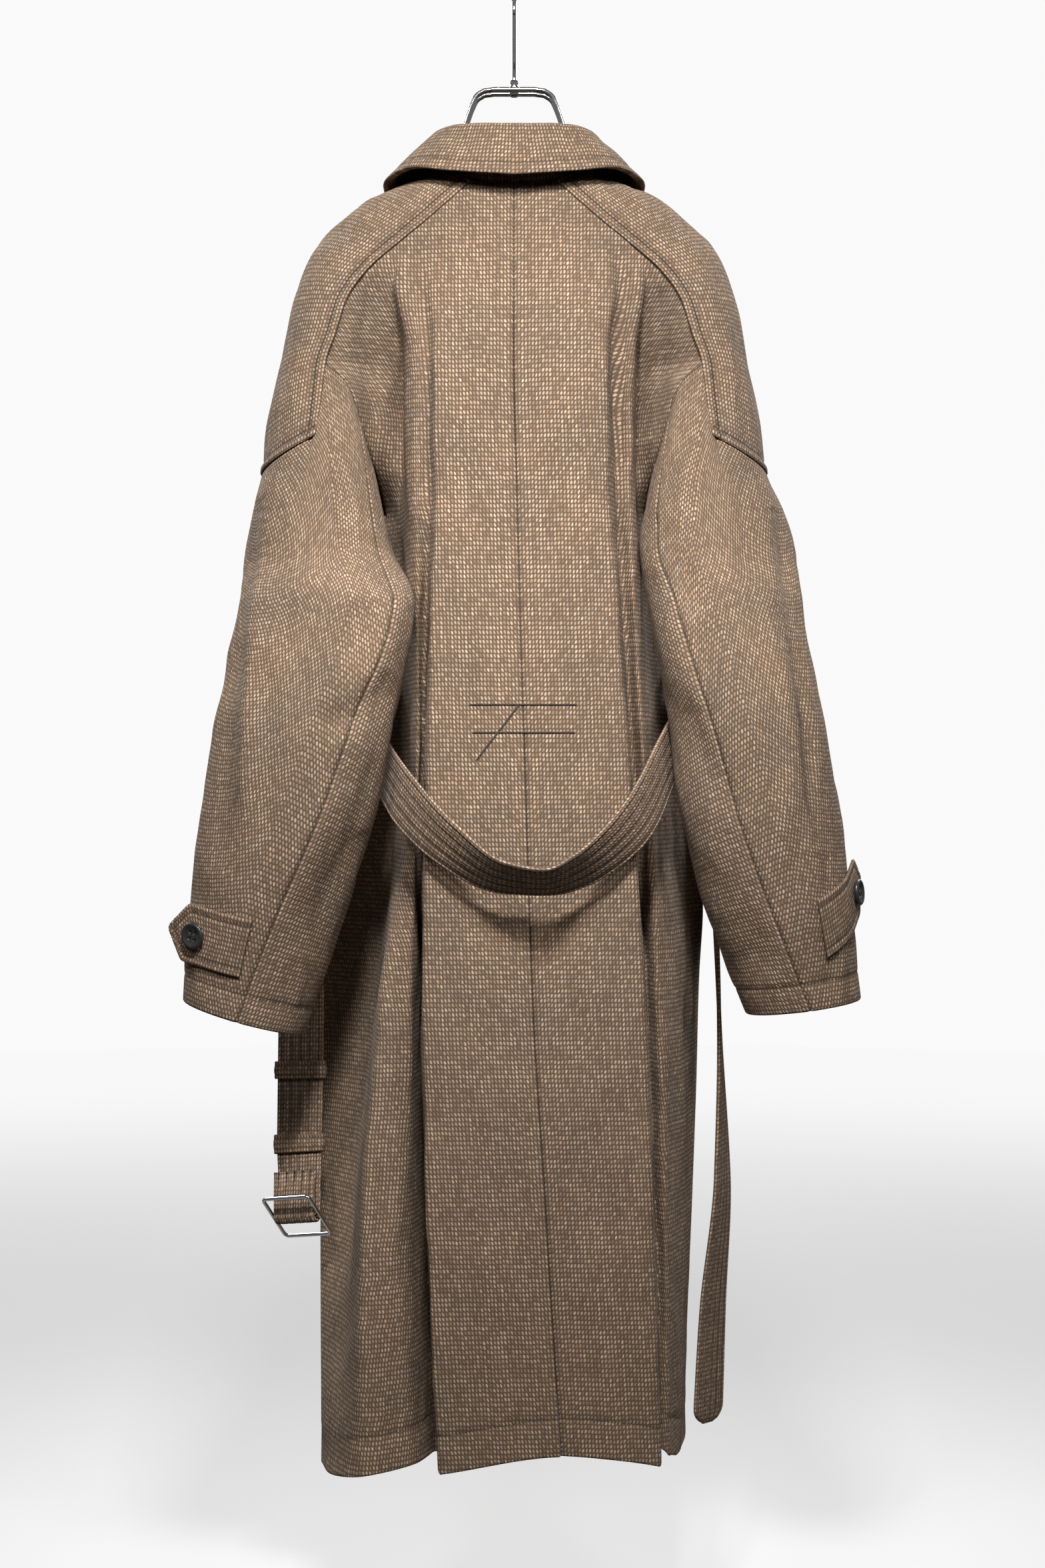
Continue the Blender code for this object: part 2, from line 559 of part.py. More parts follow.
def collar_fall(degrees, shares):
    """The collar from just inside its fold, over the roll and down to its edge."""
    fold, edge = collar_ring("fold", degrees), collar_ring("edge", degrees)
    out = unit((edge - fold) * np.array([1, 1, 0]))
    up = np.array([0, 0, 1.0])
    inner = fold - out * COLLAR_ROLL - up * COLLAR_ROLL_DROP
    shoulder = fold + out * COLLAR_SHOULDER_OUT - up * COLLAR_SHOULDER_DROP
    middle = (fold + edge) / 2 + (out + up) * COLLAR_BELLY
    lines = np.array([inner, fold, shoulder, middle, edge])
    return np.array([glide_along(lines[:, i], shares) for i in range(len(fold))])


def collar_stand(degrees, shares):
    base, fold = collar_ring("base", degrees), collar_ring("fold", degrees)
    top = fold - np.array([0, 0, STAND_TOP_GAP])
    return np.array([base[i] + (top[i] - base[i]) * np.asarray(shares)[:, None] for i in range(len(base))])


def unit(vectors):
    vectors = np.asarray(vectors, float)
    return vectors / np.linalg.norm(vectors, axis=-1, keepdims=True)


def belt_frames(shares):
    """Middle points, tangents and width directions along the belt, before its turned-up end."""
    middle = columns(BELT, BELT_COLUMNS, ["x", "y", "z"])
    width = columns(BELT, BELT_COLUMNS, ["width_x", "width_y", "width_z"])
    chord = np.concatenate([[0], np.cumsum(np.linalg.norm(np.diff(middle, axis=0), axis=1))])
    at = np.asarray(shares, float) * chord[-1]
    small = chord[-1] * SMALL_SHARE
    before, after = (np.clip(at + step, 0, chord[-1]) for step in (-small, small))
    tangent = unit(glide(chord, middle, after) - glide(chord, middle, before))
    width = glide(chord, width, at)
    return glide(chord, middle, at), tangent, unit(width - tangent * (width * tangent).sum(1)[:, None])


def belt_line(steps, turn_steps):
    """The whole belt: its run, then the turn round the buckle's bar and the end sewn back up."""
    middle, tangent, width = belt_frames(np.linspace(0, 1, steps))
    down, across = tangent[-1], width[-1]
    out = unit(np.cross(down, across))
    out = out if out[1] < 0 else -out
    centre = middle[-1] + down * BELT_TURN_DROP + out * BELT_TURN_RADIUS
    angles = np.linspace(0, math.pi, turn_steps)
    bend = [centre + BELT_TURN_RADIUS * (down * math.sin(a) - out * math.cos(a)) for a in angles]
    rise = [bend[-1] - down * BELT_TURN_UP * share for share in (0.5, 1.0)]
    points = np.vstack([middle, bend, rise])
    widths = np.vstack([width, np.tile(across, (len(bend) + len(rise), 1))])
    return points, widths, {"centre": centre, "across": across, "down": down, "out": out}


def strip_grid(points, widths, width, across):
    return np.array([[p + w * width * (share - 0.5) for share in across] for p, w in zip(points, widths)])


def clear_scene():
    for obj in list(bpy.data.objects):
        bpy.data.objects.remove(obj)
    for old in list(bpy.data.collections):
        bpy.data.collections.remove(old)


def collection(name):
    made = bpy.data.collections.new(name)
    bpy.context.scene.collection.children.link(made)
    return made


def material(name, colour, roughness, metallic):
    made = bpy.data.materials.new(name)
    made.use_nodes = True
    shader = made.node_tree.nodes["Principled BSDF"]
    shader.inputs["Base Color"].default_value = (*colour, 1)
    shader.inputs["Roughness"].default_value = roughness
    shader.inputs["Metallic"].default_value = metallic
    return made


def add_object(name, mesh, finish, parts):
    obj = bpy.data.objects.new(name, mesh)
    mesh.materials.append(finish)
    parts.objects.link(obj)
    return obj


def lay_grid(sheet, points):
    """A grid of faces added to the sheet, with its corners moved to the points."""
    rows, cols = points.shape[:2]
    made = bmesh.ops.create_grid(sheet, x_segments=cols - 1, y_segments=rows - 1, size=1)
    for vert in made["verts"]:
        col = round((vert.co.x + 1) / 2 * (cols - 1))
        row = round((vert.co.y + 1) / 2 * (rows - 1))
        vert.co = Vector(points[row, col])


def grid_mesh(name, points, closed=False):
    """A mesh of one grid. A closed grid's last column meets its first."""
    sheet = bmesh.new()
    lay_grid(sheet, points)
    if closed:
        bmesh.ops.remove_doubles(sheet, verts=sheet.verts, dist=MERGE)
    mesh = bpy.data.meshes.new(name)
    sheet.to_mesh(mesh)
    sheet.free()
    return mesh


def faces_out(points, core):
    """True when the grid's faces look away from the core, a point on the wall's inner side."""
    row, col = points.shape[0] // 2, points.shape[1] // 2
    across = points[row, min(col + 1, points.shape[1] - 1)] - points[row, col - 1]
    along = points[min(row + 1, points.shape[0] - 1), col] - points[row - 1, col]
    return np.cross(across, along) @ (points[row, col] - np.asarray(core)) > 0


def facing_out(points, core):
    return points if faces_out(points, core) else points[:, ::-1]


def grid_normals(points):
    return unit(np.cross(np.gradient(points, axis=1), np.gradient(points, axis=0)))


def rim_indices(points):
    """Row and column of each point round the grid's rim, in order."""
    rows, cols = points.shape[:2]
    rim = [(0, c) for c in range(cols - 1)] + [(r, cols - 1) for r in range(rows - 1)]
    return rim + [(rows - 1, c) for c in range(cols - 1, 0, -1)] + [(r, 0) for r in range(rows - 1, 0, -1)]


def seam_key(point):
    return tuple(np.round(point * SEAM_KEY_STEPS).astype(int))


def mitred_normals(panels):
    """Normals of each panel, shared along a seam, so that the walls of two neighbours meet in one plane."""
    own = {name: grid_normals(points) for name, points in panels.items()}
    shared = {}
    for name, points in panels.items():
        for spot in rim_indices(points):
            shared.setdefault(seam_key(points[spot]), []).append(own[name][spot])
    mitred = {}
    for name, points in panels.items():
        normals = own[name].copy()
        for spot in rim_indices(points):
            near = [n for n in shared[seam_key(points[spot])] if n @ own[name][spot] > MITRE_LIMIT]
            mean = unit(np.sum(near, axis=0))
            normals[spot] = mean / max(mean @ own[name][spot], MITRE_LIMIT)
        mitred[name] = normals
    return mitred


def seam_shifts(points):
    """How far each rim point moves, square to its edge and into the panel, to leave half a seam gap."""
    normals, shifts = grid_normals(points), np.zeros_like(points)
    grids = (points, normals, shifts)
    for grid, normal, shift in (grids, [g.transpose(1, 0, 2) for g in grids]):
        for edge, inner in ((0, 1), (-1, -2)):
            way = unit(np.cross(normal[edge], np.gradient(grid[edge], axis=0)))
            inward = np.sign(((grid[inner] - grid[edge]) * way).sum())
            shift[edge] += way * inward * HALF_GAP
    return shifts


def sewn_walls(panels, finish, parts):
    """Cloth walls for panels that share seams: the outer grid, the inner one and the rim that joins them."""
    normals = mitred_normals(panels)
    for name, points in panels.items():
        sheet = bmesh.new()
        outer = points + seam_shifts(points)
        inner = outer - normals[name] * CLOTH
        lay_grid(sheet, outer)
        lay_grid(sheet, inner[:, ::-1])
        bmesh.ops.bridge_loops(sheet, edges=[edge for edge in sheet.edges if edge.is_boundary])
        bmesh.ops.recalc_face_normals(sheet, faces=sheet.faces)
        mesh = bpy.data.meshes.new(name)
        sheet.to_mesh(mesh)
        sheet.free()
        add_object(name, mesh, finish, parts)
        mesh.shade_smooth()


def cloth(name, points, core, finish, parts, thickness=CLOTH, offset=-1.0, closed=False):
    """A cloth wall that stands by itself, with its thickness on the side of the core."""
    obj = add_object(name, grid_mesh(name, facing_out(points, core), closed), finish, parts)
    wall = obj.modifiers.new("wall", "SOLIDIFY")
    wall.thickness = thickness
    wall.offset = offset
    wall.use_even_offset = True
    wall.use_quality_normals = True
    obj.data.shade_smooth()
    return obj


def turned(name, profile, place, axis, finish, parts):
    """A turned solid: the profile of radius and height pairs spun about the axis at its place."""
    mesh = bpy.data.meshes.new(name)
    sheet = bmesh.new()
    corners = [sheet.verts.new((radius, 0, height)) for radius, height in profile]
    edges = [sheet.edges.new(pair) for pair in zip(corners, corners[1:])]
    whole_turn = dict(cent=(0, 0, 0), axis=(0, 0, 1), angle=2 * math.pi, steps=SPIN_STEPS, use_merge=True)
    bmesh.ops.spin(sheet, geom=corners + edges, **whole_turn)
    bmesh.ops.remove_doubles(sheet, verts=sheet.verts, dist=MERGE)
    bmesh.ops.recalc_face_normals(sheet, faces=sheet.faces)
    turn = Vector((0, 0, 1)).rotation_difference(Vector(axis)).to_matrix().to_4x4()
    sheet.transform(Matrix.Translation(Vector(place)) @ turn)
    sheet.to_mesh(mesh)
    sheet.free()
    return add_object(name, mesh, finish, parts)


def wire(name, points, radius, finish, parts, cyclic=False):
    """A round wire along points, as a bevelled curve turned to a mesh."""
    curve = bpy.data.curves.new(name, "CURVE")
    curve.dimensions = "3D"
    curve.bevel_depth = radius
    curve.bevel_resolution = 2
    curve.use_fill_caps = not cyclic
    spline = curve.splines.new("POLY")
    spline.points.add(len(points) - 1)
    for point, place in zip(spline.points, points):
        point.co = (*place, 1)
    spline.use_cyclic_u = cyclic
    spline.use_smooth = True
    holder = bpy.data.objects.new(name + "_path", curve)
    mesh = bpy.data.meshes.new_from_object(holder)
    mesh.name = name
    bpy.data.objects.remove(holder)
    mesh.materials.clear()
    return add_object(name, mesh, finish, parts)


def arc(centre, start, towards, angle, steps):
    """Points on an arc about a centre, from start turning towards a direction."""
    centre, start, towards = (np.asarray(v, float) for v in (centre, start, towards))
    return [centre + start * math.cos(a) + towards * math.sin(a) for a in np.linspace(0, angle, steps)]


def rounded_outline(half_width, half_height, corner):
    """Points round a rectangle with round corners, in its own plane."""
    outline = []
    for way_x, way_y, first in ((1, 1, 0), (-1, 1, 90), (-1, -1, 180), (1, -1, 270)):
        for degrees in np.linspace(first, first + 90, CORNER_STEPS):
            x = way_x * (half_width - corner) + corner * math.cos(math.radians(degrees))
            y = way_y * (half_height - corner) + corner * math.sin(math.radians(degrees))
            outline.append((x, y))
    return outline


def joined(obj, other, cutters):
    """Joins another solid to the object, and keeps that solid as a guide."""
    join = obj.modifiers.new(other.name, "BOOLEAN")
    join.operation = "UNION"
    join.object = other
    join.solver = "EXACT"
    for holder in list(other.users_collection):
        holder.objects.unlink(other)
    cutters.objects.link(other)
    other.hide_render = True
    other.display_type = "WIRE"


def body_panels():
    core = (0.0, 0.0, (WAIST + HIP) / 2)
    raglan = np.arange(SADDLE_AT_ARMHOLE) / SADDLE_AT_ARMHOLE
    armhole = 1 + np.arange(len(ARMHOLE) - 1) / (len(ARMHOLE) - 1)
    paths = np.concatenate([raglan, armhole, np.linspace(2, 3, SEAM_ROWS)])
    panels = {}
    for side in (LEFT, RIGHT):
        panels["back_" + SIDE_NAMES[side]] = facing_out(back_panel(side, paths, SPAN_STEPS), core)
        panels["front_" + SIDE_NAMES[side]] = facing_out(front_panel(side, paths, SPAN_STEPS), core)
    underlap = vent_underlap(np.linspace(VENT_TOP, HEM, VENT_ROWS), np.linspace(0, 1, VENT_COLUMNS))
    panels["vent_underlap"] = facing_out(underlap, core)
    return panels


def arm_panels():
    around = np.linspace(-1, 1, 2 * CAP_END_STEPS + 1)
    stations = np.arange(SADDLE_END + 1)
    panels = {}
    for side in (LEFT, RIGHT):
        name = SIDE_NAMES[side]
        elbow = SLEEVE_RINGS[side][len(SLEEVE_RINGS[side]) // 2]
        inside_arm = (elbow.x, elbow.y, elbow.z)
        inside_shoulder = (side * ARMHOLE[-1][0], 0.0, SADDLE[SADDLE_AT_ARMHOLE][2])
        panels["saddle_" + name] = facing_out(saddle_panel(side, stations, around), inside_shoulder)
        under = (BACK_SEAM_TURNS, FRONT_SEAM_TURNS)
        outer = (FRONT_SEAM_TURNS, [1 + turn for turn in BACK_SEAM_TURNS])
        for piece, (first, last) in (("under", under), ("outer", outer)):
            points = sleeve_piece(side, first, last, sleeve_shares(first[0], last[0]), SLEEVE_ROWS)
            panels[f"sleeve_{piece}_{name}"] = facing_out(points, inside_arm)
    return panels


def sleeve_shares(low, high):
    """Places across a sleeve piece that meet the points of the saddle and the armhole."""
    end_back = np.linspace(0, CAP_CORNER_BACK, CAP_END_STEPS + 1)
    end_front = np.linspace(CAP_CORNER_FRONT, 1, CAP_END_STEPS + 1)
    side_steps = SADDLE_END - SADDLE_AT_ARMHOLE + 1
    side_back = np.linspace(CAP_CORNER_BACK, CAP_TURNS_BACK[0], side_steps)
    side_front = np.linspace(CAP_TURNS_FRONT[0], CAP_CORNER_FRONT, side_steps)
    marks = np.concatenate([end_back, side_back, CAP_TURNS_BACK, CAP_TURNS_FRONT, side_front, end_front])
    marks = np.unique(np.round(np.concatenate([marks, marks + 1]), 9))
    kept = marks[(marks >= low - MERGE) & (marks <= high + MERGE)]
    return (kept - low) / (high - low)


def build_collar(finish, parts):
    degrees = np.linspace(-COLLAR[-1][0], COLLAR[-1][0], COLLAR_SPOKES)
    neck = (0.0, 0.0, NECK_BACK)
    stand = collar_stand(degrees, np.linspace(0, 1, STAND_STEPS))
    cloth("collar_stand", stand, neck, finish, parts)
    below_neck = (0.0, 0.0, NECK_FRONT)
    cloth("collar_fall", collar_fall(degrees, np.linspace(0, 1, FALL_STEPS)), below_neck, finish, parts)


def tab_points(side):
    """A tab on the sleeve's skin: sewn at the back seam, then leaving the arm at its pointed end."""
    tab = TABS[side]
    rows = []
    half = TAB_WIDTH / 2
    for share in np.linspace(0, 1, TAB_ROWS):
        at_turn = tab.turn + (tab.leaves - tab.turn) * share
        heights = tab.height + tab.rise * share + half * np.linspace(1, -1, TAB_LINES)
        rows.append(np.array([skin_point(side, at_turn, z, CLOTH + TAB_LIE) for z in heights]))
    last = rows[-1]
    middle = last.mean(0)
    way = unit(middle - rows[-2].mean(0))
    for share in TAB_FREE_SHARES:
        reach = tab.free_length * share
        narrow = 1 - TAB_TAPER * smoothstep(tab.free_length - TAB_POINT, tab.free_length, reach)
        rows.append(middle + way * reach + (last - middle) * narrow)
    return np.array(rows)


def skin_point(side, turn, height, lift):
    """A point lifted off the sleeve's outer skin at a turn round the arm and a height."""
    downs = np.linspace(SKIN_FROM, 1, SKIN_STEPS)
    line = sleeve_points(side, np.full(len(downs), turn), downs)
    down = np.interp(-height, -line[:, 2], downs)
    near = sleeve_points(
        side,
        [turn, turn + SKIN_STEP, turn, turn],
        [down, down, down - SKIN_STEP, min(1, down + SKIN_STEP)],
    )
    here, beside, above, below = near
    normal = unit(np.cross(beside - here, below - above))
    ring = SLEEVE_RINGS[side][-2]
    if normal @ (here - np.array([ring.x, ring.y, here[2]])) < 0:
        normal = -normal
    return here + normal * lift


def build_tabs(finish, dark, parts):
    """The two cuff tabs, each with a button where it leaves the arm."""
    button_row = -len(TAB_FREE_SHARES)
    for side in (LEFT, RIGHT):
        points = tab_points(side)
        ring = SLEEVE_RINGS[side][-2]
        core = np.array([ring.x, ring.y, ring.z])
        cloth("cuff_tab_" + SIDE_NAMES[side], points, core, finish, parts)
        row, next_row = points[button_row], points[button_row + 1]
        on = row.mean(0)
        normal = unit(np.cross(next_row.mean(0) - on, row[-1] - row[0]))
        normal = normal if normal @ (on - core) > 0 else -normal
        profile = [(r * BUTTON_DIAMETER / 2, h * BUTTON_THICKNESS) for r, h in BUTTON_PROFILE]
        turned("cuff_button_" + SIDE_NAMES[side], profile, on + normal * SEAM_GAP, normal, dark, parts)


def build_belt(finish, metal, parts, cutters):
    points, widths, turn = belt_line(BELT_STEPS, BELT_TURN_STEPS)
    strip = strip_grid(points, widths, BELT_WIDTH, (0, 0.5, 1))
    cloth("belt", strip, BELT_CORE, finish, parts, thickness=BELT_THICKNESS, offset=0.0)
    for name, height in KEEPER_PLACES.items():
        keeper(name, height, finish, parts)
    for side in (LEFT, RIGHT):
        belt_loop(side, finish, parts)
    buckle(turn, metal, parts, cutters)


def keeper(name, height, finish, parts):
    """A band round the belt's hanging end."""
    middle, tangent, width = belt_frames(np.linspace(*KEEPER_SEARCH, KEEPER_SEARCH_STEPS))
    half_width = BELT_WIDTH / 2 + KEEPER_CLEARANCE + CLOTH
    half_depth = BELT_THICKNESS / 2 + KEEPER_CLEARANCE + CLOTH
    outline = rounded_outline(half_width, half_depth, half_depth * KEEPER_ROUND)
    outline.append(outline[0])
    rows = []
    for level in (height + KEEPER_HEIGHT / 2, height, height - KEEPER_HEIGHT / 2):
        at = np.argmin(np.abs(middle[:, 2] - level))
        out = unit(np.cross(tangent[at], width[at]))
        rows.append([middle[at] + width[at] * x + out * y for x, y in outline])
    core = middle[np.argmin(np.abs(middle[:, 2] - height))]
    cloth("belt_keeper_" + name, np.array(rows), core, finish, parts, closed=True)


def belt_loop(side, finish, parts):
    """A narrow strap sewn to the side seam above and below the belt."""
    rows = []
    for share in np.linspace(0, 1, LOOP_STEPS):
        seam = edge_at(side, LOOP_TOP + (LOOP_BOTTOM - LOOP_TOP) * share)
        stands_off = smoothstep(0, LOOP_BEND, share) * (1 - smoothstep(1 - LOOP_BEND, 1, share))
        out = side * (CLOTH + LOOP_SEAT + LOOP_REACH * stands_off)
        rows.append([seam + np.array([out, LOOP_WIDTH * across, 0]) for across in (-0.5, 0, 0.5)])
    core = (0, rows[0][1][1], WAIST)
    cloth("belt_loop_" + SIDE_NAMES[side], np.array(rows), core, finish, parts)


def buckle(turn, metal, parts, cutters):
    """The frame and its middle bar, swung about the bar so that its upper half stands off the belt."""
    centre, across = turn["centre"], turn["across"]
    flat = turn["down"] * math.cos(BUCKLE_TILT) - turn["out"] * math.sin(BUCKLE_TILT)
    half_width, half_height = (BUCKLE_WIDTH - BUCKLE_WIRE) / 2, (BUCKLE_HEIGHT - BUCKLE_WIRE) / 2
    rim = [across * x + flat * y for x, y in rounded_outline(half_width, half_height, BUCKLE_CORNER)]
    frame = wire("belt_buckle", rim, BUCKLE_WIRE / 2, metal, parts, cyclic=True)
    bar = wire("buckle_bar", [-across * half_width, across * half_width], BUCKLE_BAR / 2, metal, parts)
    frame.location = bar.location = centre
    joined(frame, bar, cutters)


def shoulder_wire(side, spread_y):
    """One arm of the hanger's wire, just under the saddle, from near the neck to its end."""
    face = "back" if spread_y < 0 else "front"
    depth = HANGER_SPREAD / 2
    line = []
    for station in np.linspace(*HANGER_STATIONS, ARM_STEPS):
        ridge, after = saddle_curve("ridge", side, [station, station + HANGER_LOOK_AHEAD])
        seam = saddle_curve(face, side, [station])[0]
        share = math.asin(depth / abs(seam[1] - ridge[1])) / (math.pi / 2)
        along = unit(after - ridge)
        normal = unit(np.array([-along[2], 0, along[0]])) * side
        under = CLOTH + WIRE / 2 + HANGER_ARM_CLEARANCE
        line.append(quarter_round(seam, ridge, share) - normal * under)
    return line


def hanger_end(run, spread_y):
    """The half turn that joins the back wire to the front one at an arm's end."""
    across = np.array([0, -spread_y * HANGER_SPREAD / 2, 0])
    way = unit(run[-1] - run[-2]) * HANGER_SPREAD / 2
    return arc(run[-1] + across, -across, way, math.pi, ARM_END_STEPS)[1:-1]


def build_hanger(chrome, parts, cutters):
    """A closed loop of wire, out along the shoulders behind and back in front, and a hook on a boss."""
    loop = []
    for spread_y in (-1, 1):
        depth = spread_y * HANGER_SPREAD / 2
        left = [np.array([-x, depth, z]) for x, z in YOKE_LEG]
        right = [np.array([x, depth, z]) for x, z in reversed(YOKE_LEG)]
        top = [np.array([x, depth, YOKE_TOP]) for x in (-YOKE_HALF_WIDTH, 0.0, YOKE_HALF_WIDTH)]
        run = shoulder_wire(LEFT, spread_y)[::-1] + left + top + right + shoulder_wire(RIGHT, spread_y)
        run = run if spread_y < 0 else run[::-1]
        loop += run + hanger_end(run, spread_y)
    wire("hanger_frame", loop, WIRE / 2, chrome, parts, cyclic=True)

    bend = RAIL_RADIUS + HOOK_WIRE / 2
    low, high = bend * math.sin(HOOK_START), bend * math.cos(HOOK_START)
    hook = [np.array([0, y, z]) for y, z in HOOK_STEM]
    hook += arc((0, 0, -RAIL_RADIUS), (0, -high, -low), (0, -low, high), HOOK_SWEEP, HOOK_STEPS)
    stem = wire("hanger_hook", hook, HOOK_WIRE / 2, chrome, parts)
    radius = HANGER_SPREAD / 2 - WIRE / 2 - SEAM_GAP
    profile = [(0, BOSS_LOW), (radius, BOSS_LOW), (radius, BOSS_SHOULDER)]
    profile += [(radius * BOSS_NECK, BOSS_TOP), (0, BOSS_TOP)]
    joined(stem, turned("hook_boss", profile, (0, 0, YOKE_TOP), (0, 0, 1), chrome, parts), cutters)


def main():
    clear_scene()
    parts = collection("balmacaan_coat")
    cutters = collection("joined_guides")
    tweed = material("tweed", CLOTH_BROWN, roughness=0.9, metallic=0.0)
    chrome = material("chrome", CHROME_GREY, roughness=0.15, metallic=1.0)
    dark = material("button_black", BUTTON_BLACK, roughness=0.3, metallic=0.0)
    sewn_walls({**body_panels(), **arm_panels()}, tweed, parts)
    build_collar(tweed, parts)
    build_tabs(tweed, dark, parts)
    build_belt(tweed, chrome, parts, cutters)
    build_hanger(chrome, parts, cutters)


main()
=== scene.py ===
"""The looks of a balmacaan coat on a chrome wire hanger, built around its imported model.

Metres, +Z up. -Y is the coat's back, +X is the wearer's right. Each cloth piece is a fine sheet on its
solid's seams, folds and rings, a little fuller in places, with turned edges, stitched seams and creases,
and its tweed is laid out on the piece's own flat pattern.
"""

import math
from collections import namedtuple
from functools import lru_cache

import bmesh
import bpy
import numpy as np
from mathutils import Matrix, Vector
from mathutils.bvhtree import BVHTree


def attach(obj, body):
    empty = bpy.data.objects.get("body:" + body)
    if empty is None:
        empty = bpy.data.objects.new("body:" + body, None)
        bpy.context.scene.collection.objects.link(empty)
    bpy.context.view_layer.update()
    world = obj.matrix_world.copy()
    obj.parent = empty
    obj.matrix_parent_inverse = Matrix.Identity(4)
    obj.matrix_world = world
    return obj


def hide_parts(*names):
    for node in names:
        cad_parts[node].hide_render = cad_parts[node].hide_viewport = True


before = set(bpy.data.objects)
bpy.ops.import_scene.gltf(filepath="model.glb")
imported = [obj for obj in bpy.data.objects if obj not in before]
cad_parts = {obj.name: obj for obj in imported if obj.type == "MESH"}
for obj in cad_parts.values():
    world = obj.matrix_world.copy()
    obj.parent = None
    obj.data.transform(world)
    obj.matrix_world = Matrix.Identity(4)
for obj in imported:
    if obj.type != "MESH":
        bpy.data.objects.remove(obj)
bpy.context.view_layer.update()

# Cloth and seams
CLOTH = 0.002
BELT_THICKNESS = 0.004
SEAM_GAP = 0.0006
SMALL_SHARE = 1e-4
TINY = 1e-12
HALF = 0.5
MERGE = 1e-5
PLACE_DIGITS = 5
LEFT, RIGHT = -1, 1
SIDE_NAMES = {LEFT: "left", RIGHT: "right"}

# Heights of the body's sections
NECK_BACK = -0.180
NECK_FRONT = -0.245
CHEST = -0.462
WAIST = -0.660
HIP = -0.900
KNEE = -1.080
HEM = -1.285
LEVELS = (CHEST, WAIST, HIP, KNEE, HEM)

# Raglan saddle, right side: a row for each station from the neck to its end on the arm.
# ridge is the top of the shoulder, back and front are its two long seams.
SADDLE_COLUMNS = (
    *("ridge_x", "ridge_y", "ridge_z"),
    *("back_x", "back_y", "back_z"),
    *("front_x", "front_y", "front_z"),
)
SADDLE = (
    (0.0640, 0.000, -0.1580, 0.0400, -0.064, -0.1750, 0.0450, 0.064, -0.2000),
    (0.0950, 0.000, -0.1670, 0.0740, -0.075, -0.2080, 0.0700, 0.072, -0.2260),
    (0.1270, 0.000, -0.1780, 0.1030, -0.078, -0.2330, 0.0980, 0.076, -0.2520),
    (0.1560, 0.000, -0.2015, 0.1300, -0.080, -0.2575, 0.1250, 0.078, -0.2750),
    (0.1785, -0.004, -0.2255, 0.1470, -0.082, -0.2820, 0.1430, 0.078, -0.2950),
    (0.1960, -0.010, -0.2700, 0.1575, -0.084, -0.3150, 0.1530, 0.073, -0.3220),
    (0.2095, -0.015, -0.3350, 0.1650, -0.085, -0.3370, 0.1600, 0.064, -0.3450),
    (0.2190, -0.018, -0.3850, 0.1690, -0.088, -0.3700, 0.1665, 0.054, -0.3730),
    (0.2235, -0.020, -0.4256, 0.1730, -0.090, -0.4010, 0.1740, 0.043, -0.4010),
)
SADDLE_AT_ARMHOLE = 6
SADDLE_END = len(SADDLE) - 1

# Armhole seam below the saddle, right side, from the saddle to the underarm
ARMHOLE_COLUMNS = ("back_x", "back_y", "back_z", "front_x", "front_y", "front_z")
ARMHOLE = (
    (0.1650, -0.085, -0.3370, 0.1600, 0.064, -0.3450),
    (0.1425, -0.083, -0.3580, 0.1450, 0.059, -0.3650),
    (0.1355, -0.076, -0.3780, 0.1370, 0.050, -0.3880),
    (0.1300, -0.064, -0.4000, 0.1300, 0.037, -0.4120),
    (0.1255, -0.048, -0.4200, 0.1240, 0.020, -0.4380),
    (0.1180, 0.000, -0.4620, 0.1180, 0.000, -0.4620),
)

# Centre back seam and vent edge: x and y at each height
CENTRE_BACK_COLUMNS = ("z", "x", "y")
CENTRE_BACK = (
    (HEM, 0.0397, -0.128),
    (-1.050, 0.0260, -0.129),
    (HIP, 0.0165, -0.127),
    (WAIST, 0.0085, -0.121),
    (CHEST, 0.0030, -0.113),
    (-0.330, 0.0000, -0.104),
    (-0.245, 0.0000, -0.089),
    (NECK_BACK, 0.0000, -0.070),
)

# Fold lines of the body, a row for each line from the centre to the side seam:
# x and y at the chest, waist, hip, knee and hem
BACK_FOLDS = {
    LEFT: {
        "panel_middle": (-0.034, -0.114, -0.034, -0.122, -0.030, -0.128, -0.022, -0.131, -0.014, -0.132),
        "panel_edge": (-0.066, -0.111, -0.0715, -0.119, -0.0755, -0.126, -0.0715, -0.131, -0.062, -0.136),
        "panel_valley": (-0.074, -0.098, -0.079, -0.060, -0.082, -0.022, -0.0775, -0.036, -0.068, -0.064),
        "ridge_inner": (-0.082, -0.102, -0.083, -0.080, -0.0895, -0.080, -0.0905, -0.084, -0.083, -0.098),
        "ridge_outer": (-0.092, -0.088, -0.089, -0.060, -0.1120, -0.084, -0.1265, -0.102, -0.128, -0.126),
        "recess": (-0.0985, -0.038, -0.103, 0.0065, -0.128, 0.015, -0.145, -0.006, -0.160, -0.088),
    },
    RIGHT: {
        "panel_middle": (0.042, -0.114, 0.050, -0.121, 0.062, -0.126, 0.072, -0.128, 0.082, -0.130),
        "panel_edge": (0.080, -0.109, 0.0955, -0.116, 0.111, -0.122, 0.1178, -0.125, 0.124, -0.128),
        "panel_valley": (0.091, -0.080, 0.1025, -0.060, 0.1175, -0.040, 0.124, -0.050, 0.1295, -0.066),
        "ridge_inner": (0.099, -0.083, 0.111, -0.076, 0.127, -0.060, 0.132, -0.063, 0.134, -0.066),
        "ridge_outer": (0.105, -0.070, 0.119, -0.050, 0.144, -0.036, 0.143, -0.042, 0.139, -0.052),
        "recess": (0.1085, -0.029, 0.132, 0.004, 0.160, 0.012, 0.157, -0.004, 0.145, -0.030),
    },
}
